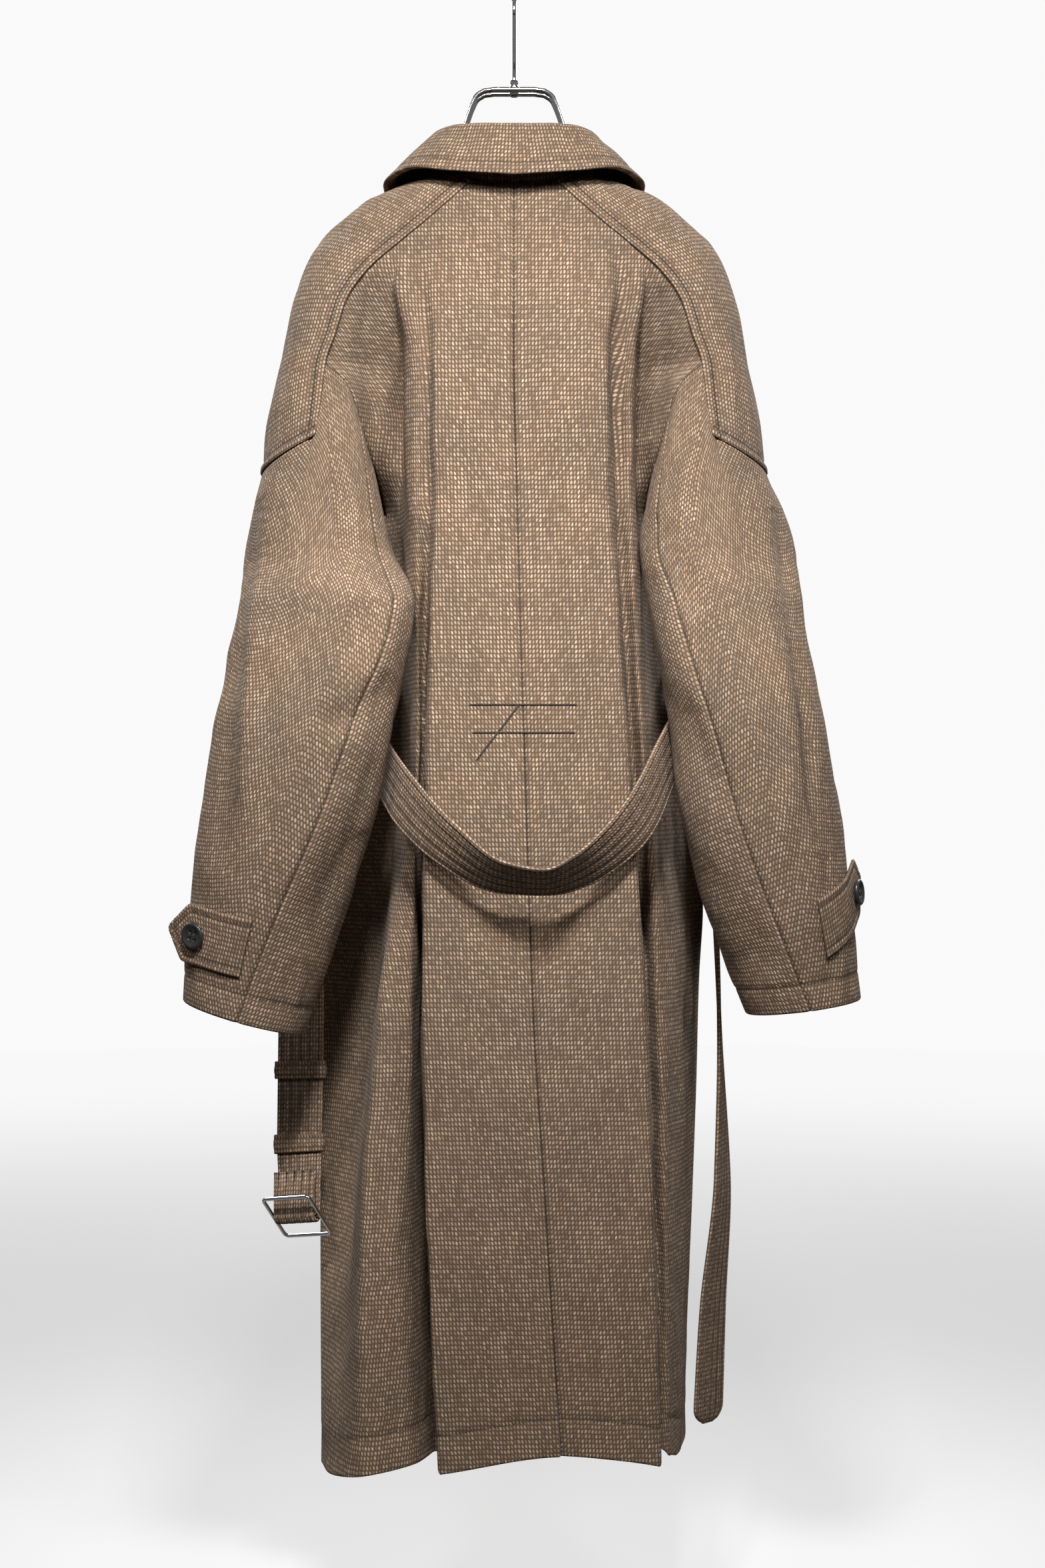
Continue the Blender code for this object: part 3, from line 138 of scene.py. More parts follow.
FRONT_FOLDS = {
    "panel": (0.040, 0.112, 0.044, 0.124, 0.048, 0.128, 0.049, 0.126, 0.050, 0.122),
    "valley": (0.070, 0.100, 0.080, 0.106, 0.088, 0.104, 0.090, 0.098, 0.090, 0.090),
    "crest": (0.096, 0.082, 0.112, 0.098, 0.126, 0.106, 0.128, 0.104, 0.128, 0.100),
    "flank": (0.113, 0.040, 0.142, 0.078, 0.163, 0.098, 0.162, 0.082, 0.158, 0.056),
}
CENTRE_FRONT_Y = (0.116, 0.128, 0.132, 0.130, 0.126)
CENTRE_FRONT_NECK_Y = 0.086
FRONT_OVERLAP = {LEFT: 0.040, RIGHT: 0.035}
FRONT_STEP = {LEFT: 0.0044, RIGHT: 0.0}
FRONT_STEP_FADE = (0.045, 0.095)
SIDE_SEAM = {
    LEFT: ((-0.118, 0.000), (-0.148, 0.045), (-0.181, 0.070), (-0.1795, 0.046), (-0.170, -0.045)),
    RIGHT: ((0.118, 0.000), (0.148, 0.045), (0.170, 0.058), (0.163, 0.036), (0.149, -0.004)),
}

# The right side seam swells a little below the belt
SEAM_FULLNESS = {LEFT: 0.0, RIGHT: 0.010}
FULLNESS_AT, FULLNESS_REACH = -0.800, 0.060

# Back vent: the left panel laps over the right one below the stitched tack
VENT_TOP = -0.655
VENT_STEP = 0.0028
VENT_UNDERLAP = 0.055
VENT_SLANT = 0.055
VENT_SHORTEST = 0.12
VENT_EASE = 0.02
VENT_SINK_WIDTH = 0.05
COVER_STEPS = 8

# How far the hem hangs above or below its level: x and rise, at the back and at the front
BACK_HEM = (
    *((-0.170, -0.015), (-0.128, -0.004), (-0.068, 0.000), (0.040, 0.013)),
    *((0.124, 0.005), (0.139, -0.007), (0.149, -0.018)),
)
FRONT_HEM = ((-0.170, -0.015), (-0.110, 0.000), (0.100, 0.000), (0.149, -0.018))
HEM_FADE = 0.18

# How the folds come in below the neck, and how the neck's slope runs out along the raglan
FOLD_SHARE_LIMITS = (0.05, 0.95)
FOLDS_SETTLE_X = (0.0, 0.15)
FOLDS_SETTLE_Y = (0.05, 0.21)
NECK_SLOPE_BACK = 0.5
NECK_SLOPE_FRONT = 0.6

# Sleeve rings from the underarm to the cuff. turn_degrees tips the ring's outer end towards the front,
# fall is how far its body side hangs below the ring's middle.
Ring = namedtuple("Ring", "z x y half_length half_depth turn_degrees fall")
SLEEVE_TABLE = {
    LEFT: (
        (-0.500, -0.1705, -0.046, 0.070, 0.058, 36, 0.000),
        (-0.548, -0.1630, -0.084, 0.083, 0.054, 26, 0.000),
        (-0.660, -0.1815, -0.099, 0.080, 0.055, 18, 0.000),
        (-0.720, -0.1920, -0.094, 0.077, 0.056, 12, 0.000),
        (-0.797, -0.2096, -0.082, 0.070, 0.057, 8, 0.003),
        (-0.855, -0.2237, -0.072, 0.062, 0.055, 4, 0.008),
        (-0.906, -0.2350, -0.066, 0.053, 0.053, 0, 0.015),
    ),
    RIGHT: (
        (-0.500, 0.1800, -0.046, 0.076, 0.058, 36, 0.000),
        (-0.548, 0.1850, -0.064, 0.068, 0.062, 22, 0.000),
        (-0.660, 0.2033, -0.084, 0.068, 0.060, 14, 0.000),
        (-0.720, 0.2120, -0.082, 0.069, 0.060, 10, 0.000),
        (-0.797, 0.2268, -0.074, 0.065, 0.058, 6, 0.000),
        (-0.855, 0.2410, -0.066, 0.057, 0.055, 4, 0.004),
        (-0.897, 0.2530, -0.060, 0.050, 0.052, 0, 0.007),
    ),
}
SLEEVE_RINGS = {side: [Ring(*row) for row in rows] for side, rows in SLEEVE_TABLE.items()}
SLEEVE_TOP = CHEST + 0.03
# Turn of the ring, in parts of a circle from the outer arm round the back, where the cap's points lie
CAP_TURNS_BACK = (0.30, 0.355, 0.41, 0.47, 0.53, 0.615)
CAP_TURNS_FRONT = (0.735, 0.71, 0.685, 0.66, 0.64, 0.615)
CAP_CORNER_BACK, CAP_CORNER_FRONT = 0.20, 0.82
BACK_SEAM_TURNS = (0.41, 0.25)
FRONT_SEAM_TURNS = (0.66, 0.70)

# Collar: rings at the neck seam, the fold and the fall's edge, a row for each angle from centre back
COLLAR_COLUMNS = (
    "degrees",
    *("base_x", "base_y", "base_z"),
    *("fold_x", "fold_y", "fold_z"),
    *("edge_x", "edge_y", "edge_z"),
)
COLLAR = (
    (0, 0.0000, -0.0680, -0.1785, 0.0000, -0.0700, -0.1280, 0.0000, -0.0930, -0.1780),
    (35, 0.0385, -0.0620, -0.1735, 0.0430, -0.0600, -0.1255, 0.0600, -0.0820, -0.1710),
    (65, 0.0575, -0.0340, -0.1630, 0.0660, -0.0310, -0.1238, 0.0980, -0.0500, -0.1620),
    (90, 0.0625, 0.0000, -0.1565, 0.0715, 0.0020, -0.1275, 0.1185, -0.0020, -0.1650),
    (120, 0.0560, 0.0400, -0.1770, 0.0650, 0.0420, -0.1480, 0.1120, 0.0560, -0.1900),
    (150, 0.0320, 0.0720, -0.2160, 0.0400, 0.0760, -0.1880, 0.0880, 0.1080, -0.2300),
    (172, 0.0080, 0.0850, -0.2400, 0.0110, 0.0930, -0.2120, 0.0560, 0.1420, -0.2700),
)
COLLAR_ROLL = 0.003
COLLAR_ROLL_DROP = 0.0012
COLLAR_BELLY = 0.0015
COLLAR_SHOULDER_OUT, COLLAR_SHOULDER_DROP = 0.005, 0.002
STAND_TOP_GAP = 0.0057
STAND_SEAM_DEPTH = 0.008

# Cuff tabs and buttons
TAB_WIDTH = 0.050
TAB_LIE = 0.0006
TAB_POINT = 0.018
TAB_TAPER = 0.9
TAB_FREE_SHARES = (0.35, 0.7, 1.0)
Tab = namedtuple("Tab", "turn leaves height free_length rise")
TABS = {LEFT: Tab(0.235, 0.150, -0.842, 0.046, 0.007), RIGHT: Tab(0.175, 0.050, -0.826, 0.044, 0.022)}
SKIN_FROM = 0.4
SKIN_STEPS = 40
SKIN_STEP = 0.015
BUTTON_DIAMETER = 0.023
BUTTON_THICKNESS = 0.004

# Belt: its middle line from the tail to the buckle, and the way its width points
BELT_WIDTH = 0.046
BELT_COLUMNS = ("x", "y", "z", "width_x", "width_y", "width_z")
BELT = (
    (0.1760, 0.022, -1.284, 0.62, 0.78, 0.05),
    (0.1810, 0.026, -1.180, 0.55, 0.83, 0.02),
    (0.1900, 0.030, -1.060, 0.35, 0.93, 0.00),
    (0.1880, 0.036, -0.930, 0.10, 0.99, 0.00),
    (0.1840, 0.052, -0.800, 0.02, 1.00, 0.05),
    (0.1745, 0.088, -0.705, -0.05, 0.98, 0.20),
    (0.1660, 0.082, -0.655, -0.05, 0.60, 0.80),
    (0.1528, 0.042, -0.636, 0.00, 0.05, 1.00),
    (0.1480, -0.020, -0.652, -0.05, 0.00, 1.00),
    (0.1290, -0.082, -0.690, -0.20, -0.15, 0.95),
    (0.1030, -0.135, -0.735, -0.35, -0.45, 0.80),
    (0.0520, -0.158, -0.776, -0.22, -0.78, 0.58),
    (0.0250, -0.165, -0.784, 0.00, -0.86, 0.50),
    (-0.0100, -0.162, -0.780, 0.15, -0.80, 0.58),
    (-0.0570, -0.149, -0.752, 0.30, -0.55, 0.78),
    (-0.0920, -0.117, -0.718, 0.28, -0.25, 0.92),
    (-0.1130, -0.066, -0.690, 0.15, -0.10, 0.97),
    (-0.1380, -0.006, -0.655, 0.05, 0.00, 1.00),
    (-0.1537, 0.042, -0.636, 0.00, 0.05, 1.00),
    (-0.1680, 0.084, -0.655, 0.05, 0.60, 0.80),
    (-0.1800, 0.086, -0.705, -0.05, 0.98, 0.20),
    (-0.1900, 0.060, -0.780, -0.35, 0.93, 0.05),
    (-0.1930, 0.038, -0.850, -0.80, 0.60, 0.02),
    (-0.1945, 0.026, -0.930, -0.92, 0.38, 0.02),
    (-0.1945, 0.012, -1.020, -0.90, 0.42, 0.06),
    (-0.1930, 0.000, -1.072, -0.80, 0.58, 0.18),
)
# The free end is rounded over its tip, down to its least share of the width
BELT_TIP, BELT_TIP_LEAST = 0.016, 0.35
# The other end turns up round the buckle's bar, on the side that faces away from the body
BELT_TURN_RADIUS = 0.0042
BELT_TURN_DROP = 0.020
BELT_TURN_UP = 0.040
BELT_RISE_SHARES = (0.5, 1.0)
KEEPER_HEIGHT = 0.016
KEEPER_CLEARANCE = 0.0013
KEEPER_ROUND = 0.9
KEEPER_SEARCH = (0.8, 1.0)
KEEPER_SEARCH_STEPS = 800
KEEPER_PLACES = {"upper": -0.963, "lower": -1.028}
LOOP_TOP, LOOP_BOTTOM = -0.592, -0.680
LOOP_WIDTH = 0.012
LOOP_REACH = 0.0145
LOOP_SEAT = -0.0004
LOOP_BEND = 0.14

# Buckle: a rectangular frame turning on its middle bar
BUCKLE_WIDTH = 0.056
BUCKLE_HEIGHT = 0.049
BUCKLE_WIRE = 0.0034
BUCKLE_BAR = 0.0032
BUCKLE_CORNER = 0.004
BUCKLE_TILT = math.radians(46)

# Hanger
WIRE = 0.0045
HANGER_SPREAD = 0.014
HANGER_ARM_CLEARANCE = 0.0022
HANGER_STATIONS = (0.6, 3.6)
HANGER_LOOK_AHEAD = 0.05
YOKE_TOP = -0.0800
YOKE_HALF_WIDTH = 0.018
# One leg of the yoke, from the shoulder arm inside the collar up to the top bar: x and z
YOKE_LEG = (
    (0.0690, -0.1668),
    (0.0610, -0.1650),
    (0.0560, -0.1580),
    (0.0530, -0.1450),
    (0.0480, -0.1250),
    (0.0420, -0.1050),
    (0.0375, -0.0930),
    (0.0335, -0.0855),
    (0.0270, -0.0812),
)
HOOK_BEND_RADIUS = 0.009
HOOK_WIRE = 0.0042
# The hook's stem from the yoke up to its bend: y and z
HOOK_STEM = ((0.0, YOKE_TOP - WIRE / 2), (0.0, YOKE_TOP + 0.012), (-0.004, -0.052), (-0.0089, -0.034))
HOOK_START = 0.5
HOOK_SWEEP = math.pi + 1.2
BOSS_LOW, BOSS_SHOULDER, BOSS_TOP = -0.0045, 0.004, 0.010
BOSS_NECK = 0.75


def columns(table, names, wanted):
    """The wanted columns of a table, as an array with a row for each row of the table."""
    return np.array([[row[names.index(name)] for name in wanted] for row in table], float)


def glide(knots, values, at):
    """Smooth curve through the values at rising knots, with no overshoot between them."""
    knots = np.asarray(knots, float)
    values = np.asarray(values, float).reshape(len(knots), -1)
    step = np.diff(knots)[:, None]
    slope = np.diff(values, axis=0) / step
    tangent = np.zeros_like(values)
    tangent[0], tangent[-1] = slope[0], slope[-1]
    if len(knots) > 2:
        before, after = slope[:-1], slope[1:]
        near, far = 2 * step[1:] + step[:-1], step[1:] + 2 * step[:-1]
        same_way = before * after > 0
        safe_before = np.where(same_way, before, 1)
        safe_after = np.where(same_way, after, 1)
        tangent[1:-1] = np.where(same_way, (near + far) / (near / safe_before + far / safe_after), 0)
    at = np.atleast_1d(np.asarray(at, float))
    cell = np.clip(np.searchsorted(knots, at, side="right") - 1, 0, len(step) - 1)
    width = step[cell]
    t = ((at - knots[cell])[:, None]) / width
    low, high = values[cell], values[cell + 1]
    return (
        (1 + 2 * t) * (1 - t) ** 2 * low
        + t * (1 - t) ** 2 * width * tangent[cell]
        + t**2 * (3 - 2 * t) * high
        + t**2 * (t - 1) * width * tangent[cell + 1]
    )


def glide_along(points, shares):
    """Smooth curve through points, read at shares of the number of spans between them."""
    return glide(np.arange(len(points)), points, np.asarray(shares, float) * (len(points) - 1))


def smoothstep(low, high, value):
    t = np.clip((value - low) / (high - low), 0, 1)
    return t * t * (3 - 2 * t)


def mirrored(points, side):
    return np.asarray(points, float) * np.array([side, 1, 1])


def unit(vectors):
    vectors = np.asarray(vectors, float)
    return vectors / np.linalg.norm(vectors, axis=-1, keepdims=True)


def saddle_curve(line, side, stations):
    """Points of the saddle's ridge, back or front line at stations along it."""
    table = columns(SADDLE, SADDLE_COLUMNS, [f"{line}_{axis}" for axis in "xyz"])
    return mirrored(glide(np.arange(len(SADDLE)), table, stations), side)


def edge_path(side, face, path):
    """The body panel's outer edge: path 0 to 1 is the raglan, 1 to 2 the armhole, 2 to 3 the side seam."""
    path = np.asarray(path, float)
    raglan = saddle_curve(face, side, np.clip(path, 0, 1) * SADDLE_AT_ARMHOLE)
    hole = columns(ARMHOLE, ARMHOLE_COLUMNS, [f"{face}_{axis}" for axis in "xyz"])
    armhole = mirrored(glide_along(hole, np.clip(path - 1, 0, 1)), side)
    heights = CHEST + (HEM - CHEST) * np.clip(path - 2, 0, 1)
    seam = glide(-np.array(LEVELS), SIDE_SEAM[side], -heights)
    seam[:, 0] += side * SEAM_FULLNESS[side] * bump_at(heights, FULLNESS_AT, FULLNESS_REACH)
    side_seam = np.column_stack([seam, heights])
    return np.where((path <= 1)[:, None], raglan, np.where((path <= 2)[:, None], armhole, side_seam))


def edge_at(side, height):
    """The side seam's point at one height below the chest."""
    return edge_path(side, "back", [2 + (height - CHEST) / (HEM - CHEST)])[0]


def centre_back(heights):
    knots = columns(CENTRE_BACK, CENTRE_BACK_COLUMNS, ["z"])[:, 0]
    return glide(knots, columns(CENTRE_BACK, CENTRE_BACK_COLUMNS, ["x", "y"]), heights)


def spread(points, per_span):
    """A smooth section through its points, with the same number of steps in each span."""
    chord = np.concatenate([[0], np.cumsum(np.linalg.norm(np.diff(points, axis=0), axis=1))])
    spans = [np.linspace(low, high, per_span, endpoint=False) for low, high in zip(chord, chord[1:])]
    return glide(chord, points, np.concatenate(spans + [chord[-1:]]))


def fold_points(folds, height):
    """x and y of each fold line at a height, kept as they are at the chest above it."""
    rows = np.array(list(folds.values()), float).reshape(len(folds), len(LEVELS), 2)
    by_level = rows.transpose(1, 0, 2).reshape(len(LEVELS), -1)
    return glide(-np.array(LEVELS), by_level, -max(min(height, CHEST), HEM))[0].reshape(-1, 2)


def body_section(start, edge, folds, height, neck):
    """Section of a panel at one height: its start at the centre, its fold lines and its edge."""
    lines = fold_points(folds, height)
    if height > CHEST:
        at_chest = np.abs(lines[:, 0]) / ARMHOLE[-1][0]
        share = np.clip(at_chest, *FOLD_SHARE_LIMITS)[:, None]
        straight = start[:2] + (edge[:2] - start[:2]) * share
        settle_x = smoothstep(neck - FOLDS_SETTLE_X[0], neck - FOLDS_SETTLE_X[1], height)
        settle_y = smoothstep(neck - FOLDS_SETTLE_Y[0], neck - FOLDS_SETTLE_Y[1], height)
        lines = np.column_stack(
            [
                straight[:, 0] + (lines[:, 0] - straight[:, 0]) * settle_x,
                straight[:, 1] + (lines[:, 1] - straight[:, 1]) * settle_y,
            ]
        )
    flat = np.vstack([start[:2], lines, edge[:2]])
    share = np.linspace(0, 1, len(flat))
    return np.column_stack([flat, start[2] + (edge[2] - start[2]) * share])


def back_panel(side, paths, per_span):
    """Rows of a back panel from the centre back to its outer edge."""
    rows = []
    neck_rise = NECK_BACK - columns(SADDLE, SADDLE_COLUMNS, ["back_z"])[0, 0]
    for edge, path in zip(edge_path(side, "back", paths), paths):
        z = edge[2] + neck_rise * (1 - smoothstep(0, NECK_SLOPE_BACK, path))
        x, y = centre_back([z])[0]
        row = spread(body_section(np.array([x, y, z]), edge, BACK_FOLDS[side], z, NECK_BACK), per_span)
        if side == RIGHT:
            below_tack = smoothstep(VENT_TOP + VENT_EASE, VENT_TOP - VENT_EASE, z)
            row[:, 1] += VENT_STEP * below_tack * (1 - smoothstep(0, VENT_SINK_WIDTH, row[:, 0] - x))
        rows.append(row)
    return np.array(rows)


def vent_underlap(heights, across):
    """The strip that runs on from the right panel's edge, under the left panel."""
    rows = []
    for z in heights:
        x, y = centre_back([z])[0]
        reach = VENT_UNDERLAP * min(1, max(VENT_SHORTEST, (VENT_TOP - z) / VENT_SLANT))
        cover = body_section(np.array([x, y, z]), edge_at(LEFT, z), BACK_FOLDS[LEFT], z, NECK_BACK)
        cover = spread(cover, COVER_STEPS)
        xs = x - reach * np.asarray(across, float)
        ys = np.interp(-xs, -cover[:, 0], cover[:, 1]) + VENT_STEP
        rows.append(np.column_stack([xs, ys, np.full(len(xs), z)]))
    return np.array(rows)


def front_panel(side, paths, per_span):
    """Rows of a front panel, from its lap over the centre front to its outer edge."""
    rows = []
    flip = np.tile((side, 1), len(LEVELS))
    folds = {name: np.array(row) * flip for name, row in FRONT_FOLDS.items()}
    neck_rise = NECK_FRONT - columns(SADDLE, SADDLE_COLUMNS, ["front_z"])[0, 0]
    for edge, path in zip(edge_path(side, "front", paths), paths):
        z = edge[2] + neck_rise * (1 - smoothstep(0, NECK_SLOPE_FRONT, path))
        y = glide(-np.array(LEVELS), CENTRE_FRONT_Y, -max(min(z, CHEST), HEM))[0, 0]
        y += (CENTRE_FRONT_NECK_Y - CENTRE_FRONT_Y[0]) * smoothstep(CHEST, NECK_FRONT, z)
        section = body_section(np.array([0.0, y, z]), edge, folds, z, NECK_FRONT)
        across = side * section[:, 0]
        reach = FRONT_OVERLAP[side]
        lap_y, lap_z = (np.interp(reach, across, section[:, axis]) for axis in (1, 2))
        row = spread(np.vstack([(-side * reach, lap_y, lap_z), section]), per_span)
        row[:, 1] += FRONT_STEP[side] * (1 - smoothstep(*FRONT_STEP_FADE, side * row[:, 0]))
        rows.append(row)
    return np.array(rows)


def saddle_panel(side, stations, around):
    """Rows along the saddle, each from the back seam over the ridge to the front seam."""
    ridge = saddle_curve("ridge", side, stations)
    seams = {line: saddle_curve(line, side, stations) for line in ("back", "front")}
    rows = []
    for i in range(len(stations)):
        row = []
        for turn in around:
            seam = seams["back" if turn < 0 else "front"][i]
            row.append(quarter_round(seam, ridge[i], abs(turn)))
        rows.append(row)
    return np.array(rows)


def quarter_round(seam, ridge, share):
    """A point on the quarter round from the ridge, at share 0, to the seam, at share 1."""
    across, up = math.sin(share * math.pi / 2), math.cos(share * math.pi / 2)
    return np.array(
        (
            seam[0] + (ridge[0] - seam[0]) * up,
            ridge[1] + (seam[1] - ridge[1]) * across,
            seam[2] + (ridge[2] - seam[2]) * up,
        )
    )


def cap_point(side, turns):
    """Top edge of the sleeve: the saddle's end, its corners and the armhole, by turn round the arm."""
    tip = saddle_curve("ridge", RIGHT, [SADDLE_END])[0]
    beyond_armhole = SADDLE_AT_ARMHOLE - SADDLE_END
    found = []
    for turn in np.asarray(turns, float) % 1.0:
        behind = turn <= CAP_TURNS_BACK[-1]
        face = "back" if behind else "front"
        corner_turn = CAP_CORNER_BACK if behind else 1 - CAP_CORNER_FRONT
        from_tip = turn if behind else 1 - turn
        cap_turns = CAP_TURNS_BACK if behind else [1 - t for t in CAP_TURNS_FRONT]
        if from_tip <= corner_turn:
            corner = saddle_curve(face, RIGHT, [SADDLE_END])[0]
            found.append(quarter_round(corner, tip, from_tip / corner_turn))
        elif from_tip < cap_turns[0]:
            share = (from_tip - corner_turn) / (cap_turns[0] - corner_turn)
            found.append(saddle_curve(face, RIGHT, [SADDLE_END + beyond_armhole * share])[0])
        else:
            hole = columns(ARMHOLE, ARMHOLE_COLUMNS, [f"{face}_{axis}" for axis in "xyz"])
            share = np.interp(from_tip, cap_turns, np.linspace(0, 1, len(cap_turns)))
            found.append(glide_along(hole, [share])[0])
    return mirrored(found, side)


def ring_points(side, ring, turns):
    """Points of one sleeve ring, an ellipse whose outer end is tipped towards the front."""
    tip = math.radians(ring.turn_degrees)
    angle = 2 * math.pi * np.asarray(turns, float) + tip
    out, back = ring.half_length * np.cos(angle), ring.half_depth * np.sin(angle)
    dx = out * math.cos(tip) + back * math.sin(tip)
    dy = out * math.sin(tip) - back * math.cos(tip)
    return np.column_stack([ring.x + side * dx, ring.y + dy, ring.z + ring.fall * np.cos(angle - tip)])


def collar_ring(name, degrees):
    table = columns(COLLAR, COLLAR_COLUMNS, [f"{name}_{axis}" for axis in "xyz"])
    knots = [row[0] for row in COLLAR]
    degrees = np.asarray(degrees, float)
    ring = glide(knots, table, np.abs(degrees))
    ring[:, 0] *= np.sign(degrees)
    return ring


def collar_fall(degrees, shares):
    """The collar from just inside its fold, over the roll and down to its edge."""
    fold, edge = collar_ring("fold", degrees), collar_ring("edge", degrees)
    out = unit((edge - fold) * np.array([1, 1, 0]))
    up = np.array([0, 0, 1.0])
    inner = fold - out * COLLAR_ROLL - up * COLLAR_ROLL_DROP
    shoulder = fold + out * COLLAR_SHOULDER_OUT - up * COLLAR_SHOULDER_DROP
    middle = (fold + edge) / 2 + (out + up) * COLLAR_BELLY
    lines = np.array([inner, fold, shoulder, middle, edge])
    return np.array([glide_along(lines[:, i], shares) for i in range(len(fold))])


def collar_stand(degrees, shares):
    base, fold = collar_ring("base", degrees), collar_ring("fold", degrees)
    base[:, 2] -= STAND_SEAM_DEPTH
    top = fold - np.array([0, 0, STAND_TOP_GAP])
    return np.array([base[i] + (top[i] - base[i]) * np.asarray(shares)[:, None] for i in range(len(base))])


def belt_frames(shares):
    """Middle points, tangents and width directions along the belt, before its turned-up end."""
    middle = columns(BELT, BELT_COLUMNS, ["x", "y", "z"])
    width = columns(BELT, BELT_COLUMNS, ["width_x", "width_y", "width_z"])
    chord = np.concatenate([[0], np.cumsum(np.linalg.norm(np.diff(middle, axis=0), axis=1))])
    at = np.asarray(shares, float) * chord[-1]
    small = chord[-1] * SMALL_SHARE
    before, after = (np.clip(at + step, 0, chord[-1]) for step in (-small, small))
    tangent = unit(glide(chord, middle, after) - glide(chord, middle, before))
    width = glide(chord, width, at)
    return glide(chord, middle, at), tangent, unit(width - tangent * (width * tangent).sum(1)[:, None])


def belt_line(steps, turn_steps):
    """The whole belt: its run, then the turn round the buckle's bar and the end sewn back up."""
    middle, tangent, width = belt_frames(np.linspace(0, 1, steps))
    down, across = tangent[-1], width[-1]
    out = unit(np.cross(down, across))
    out = out if out[1] < 0 else -out
    centre = middle[-1] + down * BELT_TURN_DROP + out * BELT_TURN_RADIUS
    angles = np.linspace(0, math.pi, turn_steps)
    bend = [centre + BELT_TURN_RADIUS * (down * math.sin(a) - out * math.cos(a)) for a in angles]
    rise = [bend[-1] - down * BELT_TURN_UP * share for share in BELT_RISE_SHARES]
    points = np.vstack([middle, bend, rise])
    widths = np.vstack([width, np.tile(across, (len(bend) + len(rise), 1))])
    return points, widths, {"centre": centre, "across": across, "down": down, "out": out}


def arc(centre, start, towards, angle, steps):
    """Points on an arc about a centre, from start turning towards a direction."""
    centre, start, towards = (np.asarray(v, float) for v in (centre, start, towards))
    return [centre + start * math.cos(a) + towards * math.sin(a) for a in np.linspace(0, angle, steps)]


def rounded_outline(half_width, half_height, corner):
    """Points round a rectangle with round corners, in its own plane."""
    outline = []
    for way_x, way_y, first in ((1, 1, 0), (-1, 1, 90), (-1, -1, 180), (1, -1, 270)):
        for degrees in np.linspace(first, first + 90, CORNER_STEPS):
            x = way_x * (half_width - corner) + corner * math.cos(math.radians(degrees))
            y = way_y * (half_height - corner) + corner * math.sin(math.radians(degrees))
            outline.append((x, y))
    return outline


def shoulder_wire(side, spread_y):
    """One arm of the hanger's wire, just under the saddle, from near the neck to its end."""
    face = "back" if spread_y < 0 else "front"
    depth = HANGER_SPREAD / 2
    line = []
    for station in np.linspace(*HANGER_STATIONS, ARM_STEPS):
        ridge, after = saddle_curve("ridge", side, [station, station + HANGER_LOOK_AHEAD])
        seam = saddle_curve(face, side, [station])[0]
        share = math.asin(depth / abs(seam[1] - ridge[1])) / (math.pi / 2)
        along = unit(after - ridge)
        normal = unit(np.array([-along[2], 0, along[0]])) * side
        under = CLOTH + WIRE / 2 + HANGER_ARM_CLEARANCE
        line.append(quarter_round(seam, ridge, share) - normal * under)
    return line


def hanger_end(run, spread_y):
    """The half turn that joins the back wire to the front one at an arm's end."""
    across = np.array([0, -spread_y * HANGER_SPREAD / 2, 0])
    way = unit(run[-1] - run[-2]) * HANGER_SPREAD / 2
    return arc(run[-1] + across, -across, way, math.pi, ARM_END_STEPS)[1:-1]


# Finish of the sheets: spacing of their lines, and how edges are turned and stitched
MM = 0.001
DENSE = 48
BACK_STEP, FRONT_STEP_SIZE, SLEEVE_STEP = 0.0034, 0.006, 0.0045
ROW_STEP, FRONT_ROW_STEP = 0.004, 0.007
RAGLAN_LENGTH, ARMHOLE_LENGTH = 0.21, 0.16
# Where the raglan's lap gives way to the armhole seam on the edge path, and the seam to the vent's edge
RAGLAN_END = (0.98, 1.02)
VENT_EDGE = (0.001, -0.004)
SADDLE_STEPS, STAND_STEPS = 160, 12
SLEEVE_LINES, COLLAR_LINES = 3 * DENSE, 4 * DENSE
COLLAR_STEP, COLLAR_ROW_STEP = 0.003, 0.005
EDGE_MARKS = np.array((0, 0.5, 1.1, 2.0, 3.4, 5.5)) * MM
STITCH_MARKS = np.array((-2.6, -1.2, 0, 1.2, 2.6)) * MM
EDGE_SHARE = 0.8
SEAM_STITCH = 0.009
HEM_STITCH = 0.032
CUFF_STITCH = 0.025
COLLAR_STITCH = 0.0115
TAB_STITCH = 0.007
SEAM_DEPTH, SEAM_REACH = 0.0013, 0.0017
SEAM_PUFF, SEAM_PUFF_AT, SEAM_PUFF_REACH = 0.0004, 0.005, 0.003
LAP_RISE, UNDER_DROP, UNDER_REACH = 0.0020, 0.0010, 0.004
LAP_OVER, LAP_OVER_REACH = 0.0035, 0.008
LAP_FALL = (-0.001, 0.003)
ROUND_DEPTH, ROUND_REACH = 0.0009, 0.0008
GROOVE_DEPTH, GROOVE_REACH = 0.0016, 0.0019
# Painted shade: its reach from an edge, and how dark it is in a seam, under a lap's edge and along a stitch
# groove
SHADE_REACH = 0.0018
LAP_STITCH, SOFT_STITCH = 1.4, 0.45
SEAM_SHADE, UNDER_SHADE, STITCH_SHADE = 0.40, 1.0, 0.70

Edge = namedtuple("Edge", "place kind stitch where")
Crease = namedtuple("Crease", "height width sharp points")

